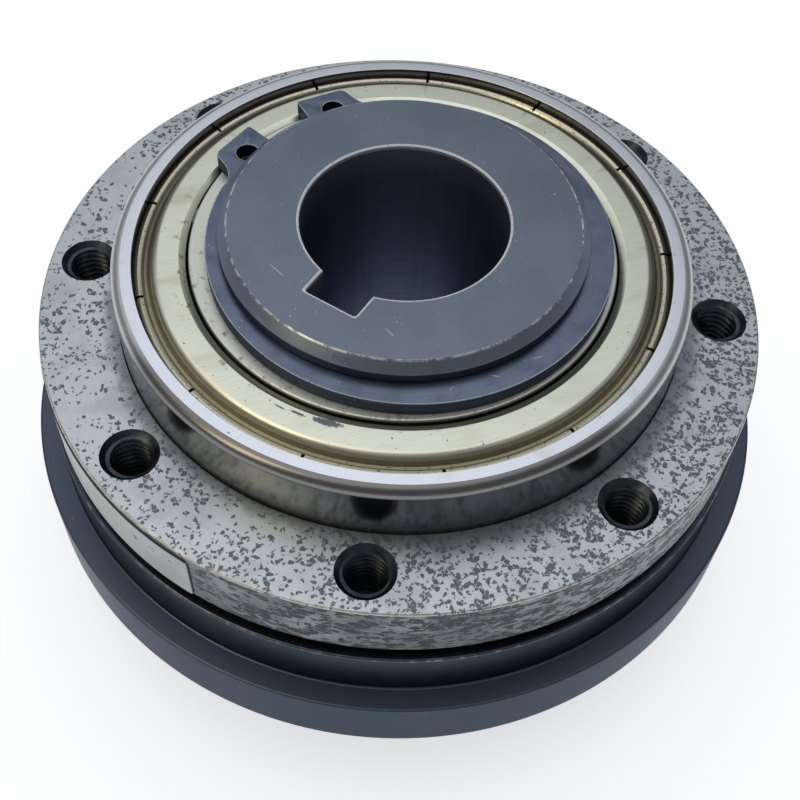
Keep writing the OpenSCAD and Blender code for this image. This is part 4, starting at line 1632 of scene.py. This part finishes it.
@dataclass
class OutputFlange:
    """Flange for the driven part: tapped holes in front, ball pockets behind, a blank label on its rim."""

    face: float = 35.75
    rim_r: float = 39.6
    rim_low: float = 27.98
    rim_round: float = 0.22
    bore_r: float = 31.01
    bore_round: float = 0.12
    boss_r: float = 32.4
    boss_low: float = 26.75
    boss_rounds: tuple[float, float] = (0.1, 0.3)
    throat_r: float = 24.3
    throat_high: float = 30.38
    ledge_r: float = 28.9
    ledge_high: float = 30.98
    bolts: int = 8
    bolt_circle: float = 35.25
    first_bolt_deg: float = 27.0
    thread_r: float = 2.5
    thread_crest: float = 2.10
    thread_pitch: float = 0.8
    sink: float = 0.55
    pockets: int = 8
    pocket_r: float = 4.05
    pocket_circle: float = 28.0
    pocket_height: float = 23.63
    label_radii: tuple[float, float] = (39.61, 39.73)
    label_heights: tuple[float, float] = (28.05, 34.65)
    label_ends_deg: tuple[float, float] = (191.9, 271.5)
    label_corner: float = 0.6

    def tapped_hole(self, place: Matrix) -> bpy.types.Object:
        """Cutter with a thread's helix and the countersink above it.

        Args:
            place: where the hole stands.

        Returns:
            The cutter.
        """
        turns = even_turn(40)
        # The thread has seven loops to a pitch, and starts a little below the flange.
        low, high = self.rim_low - 0.6, self.face - self.sink - 0.05
        steps = round((high - low) / (self.thread_pitch / 7))
        depth = self.thread_r - self.thread_crest
        rows = []
        for k in range(steps + 1):
            z = low + (high - low) * k / steps
            rows.append([point_at(self.thread_crest + helix_depth(a, z, self.thread_pitch, depth), a, z)
                         for a in turns])
        for r, z in ((self.thread_r, self.face - self.sink), (self.thread_r + self.sink + 1, self.face + 1)):
            rows.append([point_at(r, a, z) for a in turns])
        return capped(rows, place, FlangeSkin.THREAD)

    def pocket(self, place: Matrix) -> bpy.types.Object:
        """Round cutter for a ball pocket.

        Args:
            place: where the pocket stands.

        Returns:
            The cutter.
        """
        steps = 24
        turns = [math.pi * (k / steps - 0.5) for k in range(1, steps)]
        ball = [Corner(self.pocket_r * math.cos(a), self.pocket_height + self.pocket_r * math.sin(a))
                for a in turns]
        return plug(ball, place, 40, FlangeSkin.RIM)

    def build(self) -> bpy.types.Object:
        """Builds the flange with its holes and pockets.

        Returns:
            The flange.
        """
        rim = FlangeSkin.RIM
        boss_root, boss_edge = self.boss_rounds
        corners = [Corner(self.bore_r, self.face, self.bore_round, FlangeSkin.FACE),
                   Corner(self.rim_r, self.face, self.rim_round, rim),
                   Corner(self.rim_r, self.rim_low, self.rim_round, rim),
                   Corner(self.boss_r, self.rim_low, boss_root, rim),
                   Corner(self.boss_r, self.boss_low, boss_edge, rim),
                   Corner(self.throat_r, self.boss_low, boss_root, rim),
                   Corner(self.throat_r, self.throat_high, 0, rim),
                   Corner(self.ledge_r, self.throat_high, 0, rim),
                   Corner(self.ledge_r, self.ledge_high, 0, rim),
                   Corner(self.bore_r, self.ledge_high, 0, rim)]
        flange = turned("output_flange", corners, [FLANGE_FACE, FLANGE_RIM, THREAD_BLACK])
        bolts = around(self.bolts, self.first_bolt_deg, self.bolt_circle)
        holes = [self.tapped_hole(place) for place in bolts]
        pockets = [self.pocket(place) for place in around(self.pockets, 0.0, self.pocket_circle)]
        return cut(flange, holes + pockets)

    def label(self) -> bpy.types.Object:
        """Builds the blank label as a thin bent sheet with rounded corners.

        Returns:
            The label.
        """
        (inner, outer), (low, high) = self.label_radii, self.label_heights
        start, end = (math.radians(a) for a in self.label_ends_deg)
        length, corner = (end - start) * inner, self.label_corner
        # Numbers of steps round a corner and along the straight edges.
        bend, straight = 6, 90
        near_end = [corner * (1 - math.cos(math.pi / 2 * k / bend)) for k in range(bend + 1)]
        along = near_end + [corner + (length - 2 * corner) * k / straight for k in range(1, straight)]
        along += [length - d for d in near_end[::-1]]
        mesh = bmesh.new()
        columns = []
        for s in along:
            short = max(0.0, corner - min(s, length - s))
            inset = corner - math.sqrt(max(0.0, corner ** 2 - short ** 2))
            edges = ((inner, low + inset), (outer, low + inset), (outer, high - inset), (inner, high - inset))
            columns.append([mesh.verts.new(point_at(r, start + s / inner, z) * MM) for r, z in edges])
        for left, right in zip(columns, columns[1:]):
            for i in range(4):
                j = (i + 1) % 4
                mesh.faces.new((left[i], left[j], right[j], right[i]))
        mesh.faces.new(columns[0])
        mesh.faces.new(columns[-1][::-1])
        return finished_piece("blank_label", mesh, [LabelFilm(low, high, self.label_ends_deg)])

    def dress(self) -> None:
        """Puts the flange and its label in place."""
        stand_for(self.build(), "drive_flange", Body.FLANGE)
        stand_for(self.label(), "flange_label", Body.FLANGE)


@dataclass
class TripRing:
    """Ring that slides along the hub when the clutch trips: a skirt over the carrier and a wide disc."""

    skirt_r: float = 40.05
    skirt_bore_r: float = 34.2
    skirt_high: float = 26.35
    disc_r: float = 42.67
    disc: tuple[float, float] = (11.99, 19.70)
    spring_bore_r: float = 31.5
    bore_r: float = 21.05
    web: tuple[float, float] = (14.35, 17.39)
    pin_hole_r: float = 2.05
    pin_circle: float = 28.0
    pins: int = 4
    first_pin_deg: float = 22.5

    def build(self) -> bpy.types.Object:
        """Builds the ring with the holes for its guide pins.

        Returns:
            The ring.
        """
        (web_low, web_high), (disc_low, disc_high) = self.web, self.disc
        corners = [Corner(self.skirt_bore_r, self.skirt_high, 0.1),
                   Corner(self.skirt_r, self.skirt_high, 0.28), Corner(self.skirt_r, disc_high, 0.25),
                   Corner(self.disc_r, disc_high, 0.35), Corner(self.disc_r, disc_low, 0.35),
                   Corner(self.spring_bore_r, disc_low, 0.2), Corner(self.spring_bore_r, web_low, 0.3),
                   Corner(self.bore_r, web_low, 0.2), Corner(self.bore_r, web_high, 0.2),
                   Corner(self.skirt_bore_r, web_high, 0.3)]
        ring = turned("switching_ring", corners, [RING_BLACK])
        drill = [Corner(self.pin_hole_r, web_low - 1), Corner(self.pin_hole_r, web_high + 1)]
        pins = around(self.pins, self.first_pin_deg, self.pin_circle)
        return cut(ring, [plug(drill, place, 32) for place in pins])

    def dress(self) -> None:
        """Puts the ring in place and finishes what it carries."""
        stand_for(self.build(), "trip_ring", Body.TRIP_RING)
        dress("track_washer", WASHER_STEEL)
        dress("drive_balls", BALL_STEEL)


@dataclass
class SpringPack:
    """Two disc springs set back to back, which flatten when the ring slides or the nut is turned."""

    inner_r: float = 21.4
    outer_r: float = 30.0
    thickness: float = 1.25
    cone: float = 0.6
    rounding: float = 0.2

    def disc(self, name: str, top: float, inner_high: bool) -> bpy.types.Object:
        """Builds a disc spring.

        Args:
            name: name of the piece.
            top: height of its upper edge.
            inner_high: whether its inner edge is the upper one.

        Returns:
            The spring.
        """
        at_inner, at_outer = (top, top - self.cone) if inner_high else (top - self.cone, top)
        edges = ((self.inner_r, at_inner), (self.outer_r, at_outer),
                 (self.outer_r, at_outer - self.thickness), (self.inner_r, at_inner - self.thickness))
        corners = [Corner(r, z, self.rounding) for r, z in edges]
        return turned(name, corners, [SPRING_STEEL])

    def dress(self) -> None:
        """Puts the springs in place, attached to no body; the ring for the upper one and the seat for the
        lower one are listed but not used.
        """
        for name, node, inner_high, moving in (
                ("front_disc_spring", "disc_spring_upper", True, Body.TRIP_RING),
                ("rear_disc_spring", "disc_spring_lower", False, Body.SPRING_SEAT)):
            low, high = heights_of(node)
            spring = self.disc(name, high, inner_high)
            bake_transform(spring)
            stand_for(spring, node, None)
        dress("spring_seat_washer", WASHER_STEEL)


@dataclass
class AdjustingNut:
    """Slotted ring nut that sets the springs' load, locked by three screws with brass pads."""

    inner_r: float = 20.05
    inner_bevel: float = 0.5
    outer_r: float = 29.0
    outer_bevel: float = 0.35
    low: float = 1.57
    high: float = 8.57
    slot_width: float = 6.0
    slot_floor: float = 26.5
    slot_round: float = 0.4
    slots_deg: tuple[float, ...] = (0.0, 90.0, 180.0, 270.0)
    lock_hole_r: float = 2.05
    lock_holes: int = 3
    first_lock_deg: float = 45.0

    def build(self) -> bpy.types.Object:
        """Builds the nut with its spanner slots and lock-screw holes.

        Returns:
            The nut.
        """
        slots = [Slot(a, self.slot_width, self.slot_floor, self.slot_round) for a in self.slots_deg]
        outside = ((self.low, -self.outer_bevel), (self.low + self.outer_bevel, 0.0),
                   (self.high - self.outer_bevel, 0.0), (self.high, -self.outer_bevel))
        rows = [slotted_circle(self.outer_r, slots, z, grow) for z, grow in outside]
        base = slotted_circle(self.outer_r, slots, 0.0)
        inside = ((self.inner_bevel, self.high), (0.0, self.high - self.inner_bevel),
                  (0.0, self.low + self.inner_bevel), (self.inner_bevel, self.low))
        rows += [matching_circle(base, self.inner_r + grow, z) for grow, z in inside]
        mesh = bmesh.new()
        skin_loops(mesh, rows, [0] * len(rows), closed=True)
        oxide = BlackedHub(edge_radii=(self.outer_r - self.outer_bevel, self.inner_r + self.inner_bevel),
                           edge_height=self.low)
        nut = finished_piece("ring_nut", mesh, [oxide])
        middle = (self.low + self.high) / 2
        lying = Matrix.Translation((0, 0, middle)) @ Matrix.Rotation(math.pi / 2, 4, "Y")
        drill = [Corner(self.lock_hole_r, -6.0), Corner(self.lock_hole_r, 6.0)]
        places = around(self.lock_holes, self.first_lock_deg, (self.inner_r + self.outer_r) / 2)
        return cut(nut, [plug(drill, place @ lying, 32) for place in places])

    def dress(self) -> None:
        """Puts the nut in place and finishes its screws and pads."""
        stand_for(self.build(), "adjusting_nut", Body.NUT)
        dress("nut_lock_screws", SCREW_STEEL)
        dress("nut_lock_pads", PAD_BRASS)


@dataclass
class Studio:
    """White table, a pale room, one warm window, and the camera."""

    yaw_deg: float = 30.0
    down_deg: float = 54.278
    roll_deg: float = 3.1446
    distance: float = 151.85
    aim_side: float = 0.512
    aim_height: float = 14.76
    lens: float = 54.45
    sensor: float = 36.0
    ceiling_direction: tuple[float, float, float] = (-0.12, 0.25, 0.96)
    ceiling_spread: tuple[float, float] = (0.66, 1.0)
    ceiling_levels: tuple[float, float] = (0.24, 1.10)
    horizon: tuple[float, float] = (0.24, 0.06)
    horizon_level: float = 0.60
    seen_level: float = 1.1
    room_colour: str = "#f8fafd"
    window_direction: tuple[float, float, float] = (-0.56, -0.33, 0.76)
    window_distance_m: float = 0.60
    window_size_m: tuple[float, float] = (0.14, 0.34)
    window_aim_m: float = 0.025
    window_radiance: float = 4.0
    window_colour: str = "#ffebb4"
    table_radius_m: float = 6.0
    table_colour: str = "#eff1f4"
    table_mottle: str = "#efefef"
    table_glow: float = 0.62

    def turned_by_yaw(self, sideways: float, away: float, up: float) -> Vector:
        """A direction given as the camera sees it, in the clutch's frame."""
        yaw = math.radians(self.yaw_deg)
        return Vector((sideways * math.cos(yaw) - away * math.sin(yaw),
                       sideways * math.sin(yaw) + away * math.cos(yaw), up))

    def camera(self) -> None:
        """Sets the camera at the photograph's viewing angle."""
        down, roll = math.radians(self.down_deg), math.radians(self.roll_deg)
        ahead = self.turned_by_yaw(0, math.cos(down), -math.sin(down))
        right, above = self.turned_by_yaw(1, 0, 0), self.turned_by_yaw(0, math.sin(down), math.cos(down))
        across = right * math.cos(roll) + above * math.sin(roll)
        upward = above * math.cos(roll) - right * math.sin(roll)
        aim = self.turned_by_yaw(self.aim_side, 0, self.aim_height)
        data = bpy.data.cameras.new("camera")
        data.sensor_width, data.lens = self.sensor, self.lens
        data.clip_start, data.clip_end = 0.01, 50
        camera = put_in_scene("camera", data)
        axes = Matrix((across, upward, -ahead)).transposed().to_4x4()
        camera.matrix_world = Matrix.Translation((aim - ahead * self.distance) * MM) @ axes
        bpy.context.scene.camera = camera

    def window(self) -> None:
        """Sets the one lamp, a warm window at the viewer's left that glints on round walls."""
        data = bpy.data.lights.new("left_window", "AREA")
        width, height = self.window_size_m
        data.shape, data.size, data.size_y = "RECTANGLE", width, height
        # The power at which the lamp's face has the wanted radiance, where 1 shows as white.
        data.energy = math.pi * self.window_radiance * width * height
        data.color = linear(self.window_colour)[:3]
        lamp = put_in_scene("left_window", data)
        direction = self.turned_by_yaw(*self.window_direction)
        lamp.location = direction.normalized() * self.window_distance_m + Vector((0, 0, self.window_aim_m))
        lamp.rotation_mode = "QUATERNION"
        lamp.rotation_quaternion = direction.to_track_quat("Z", "Y")
        # It only glints: the room gives all the even light.
        lamp.visible_diffuse = False

    def table(self) -> None:
        """Lays the white table, which shows white round the clutch and keeps its shadow."""
        mesh = bmesh.new()
        bmesh.ops.create_circle(mesh, cap_ends=True, segments=96, radius=self.table_radius_m)
        data = bpy.data.meshes.new("table")
        mesh.to_mesh(data)
        mesh.free()
        table = put_in_scene("table", data)
        # Matt white laminate: even, with a barely visible mottle.
        s = Surface("matt_white_laminate", self.table_colour, 0.8, 0.0)
        s.lay(s.overlap(s.patches(3.0, 0.3, 0.7), 0.3), self.table_mottle)
        path = s.add("LightPath", out="Is Camera Ray").node.outputs
        seen = s.add("Math", {0: path["Is Camera Ray"], 1: path["Is Glossy Ray"]}, operation="ADD")
        seen = s.add("Math", {0: seen, 1: path["Is Transmission Ray"]}, operation="ADD")
        s.tree.links.new(s.overlap(seen, self.table_glow), s.shader.inputs["Emission Strength"])
        s.shader.inputs["Emission Color"].default_value = (1, 1, 1, 1)
        data.materials.append(s.done())

    def room(self) -> None:
        """Sets the room's own light: pale all round, dimmer on the side where the viewer stands."""
        world = bpy.data.worlds.new("pale_room")
        world.use_nodes = True
        bpy.context.scene.world = world
        tree = world.node_tree
        back = next(n for n in tree.nodes if n.type == "BACKGROUND")
        where = add_node(tree, "TexCoord", out="Generated")
        ceiling_at = self.turned_by_yaw(*self.ceiling_direction).normalized()
        facing = add_node(tree, "VectorMath", {0: where, 1: ceiling_at}, "Value", operation="DOT_PRODUCT")
        (dim, bright), (outside, inside) = self.ceiling_levels, self.ceiling_spread
        ends = {"Value": facing, "From Min": outside, "From Max": inside, "To Min": dim, "To Max": bright}
        ceiling = add_node(tree, "MapRange", ends, interpolation_type="SMOOTHSTEP")
        height = add_node(tree, "SeparateXYZ", {0: where}, "Z")
        above, below = self.horizon
        low = add_node(tree, "MapRange", {"Value": height, "From Min": above, "From Max": below},
                       interpolation_type="SMOOTHSTEP")
        level = add_node(tree, "Mix", {0: low, 2: ceiling, 3: self.horizon_level}, data_type="FLOAT")
        seen = add_node(tree, "LightPath", out="Is Camera Ray")
        level = add_node(tree, "Mix", {0: seen, 2: level, 3: self.seen_level}, data_type="FLOAT")
        tree.links.new(level, back.inputs["Strength"])
        back.inputs["Color"].default_value = linear(self.room_colour)

    def build(self) -> None:
        """Sets up the studio."""
        self.table()
        self.room()
        self.window()
        self.camera()
        bpy.context.scene.view_settings.view_transform = "Standard"


def main() -> None:
    """Builds the clutch's pieces, dresses them and sets up the studio."""
    logging.basicConfig(level=logging.INFO, format="%(message)s")
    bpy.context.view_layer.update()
    for sub_assembly in (Hub, RetainingRing, Bearing, OutputFlange, TripRing, SpringPack, AdjustingNut):
        sub_assembly().dress()
        LOG.info("%s is finished", sub_assembly.__name__)
    Studio().build()


if __name__ == "__main__":
    main()
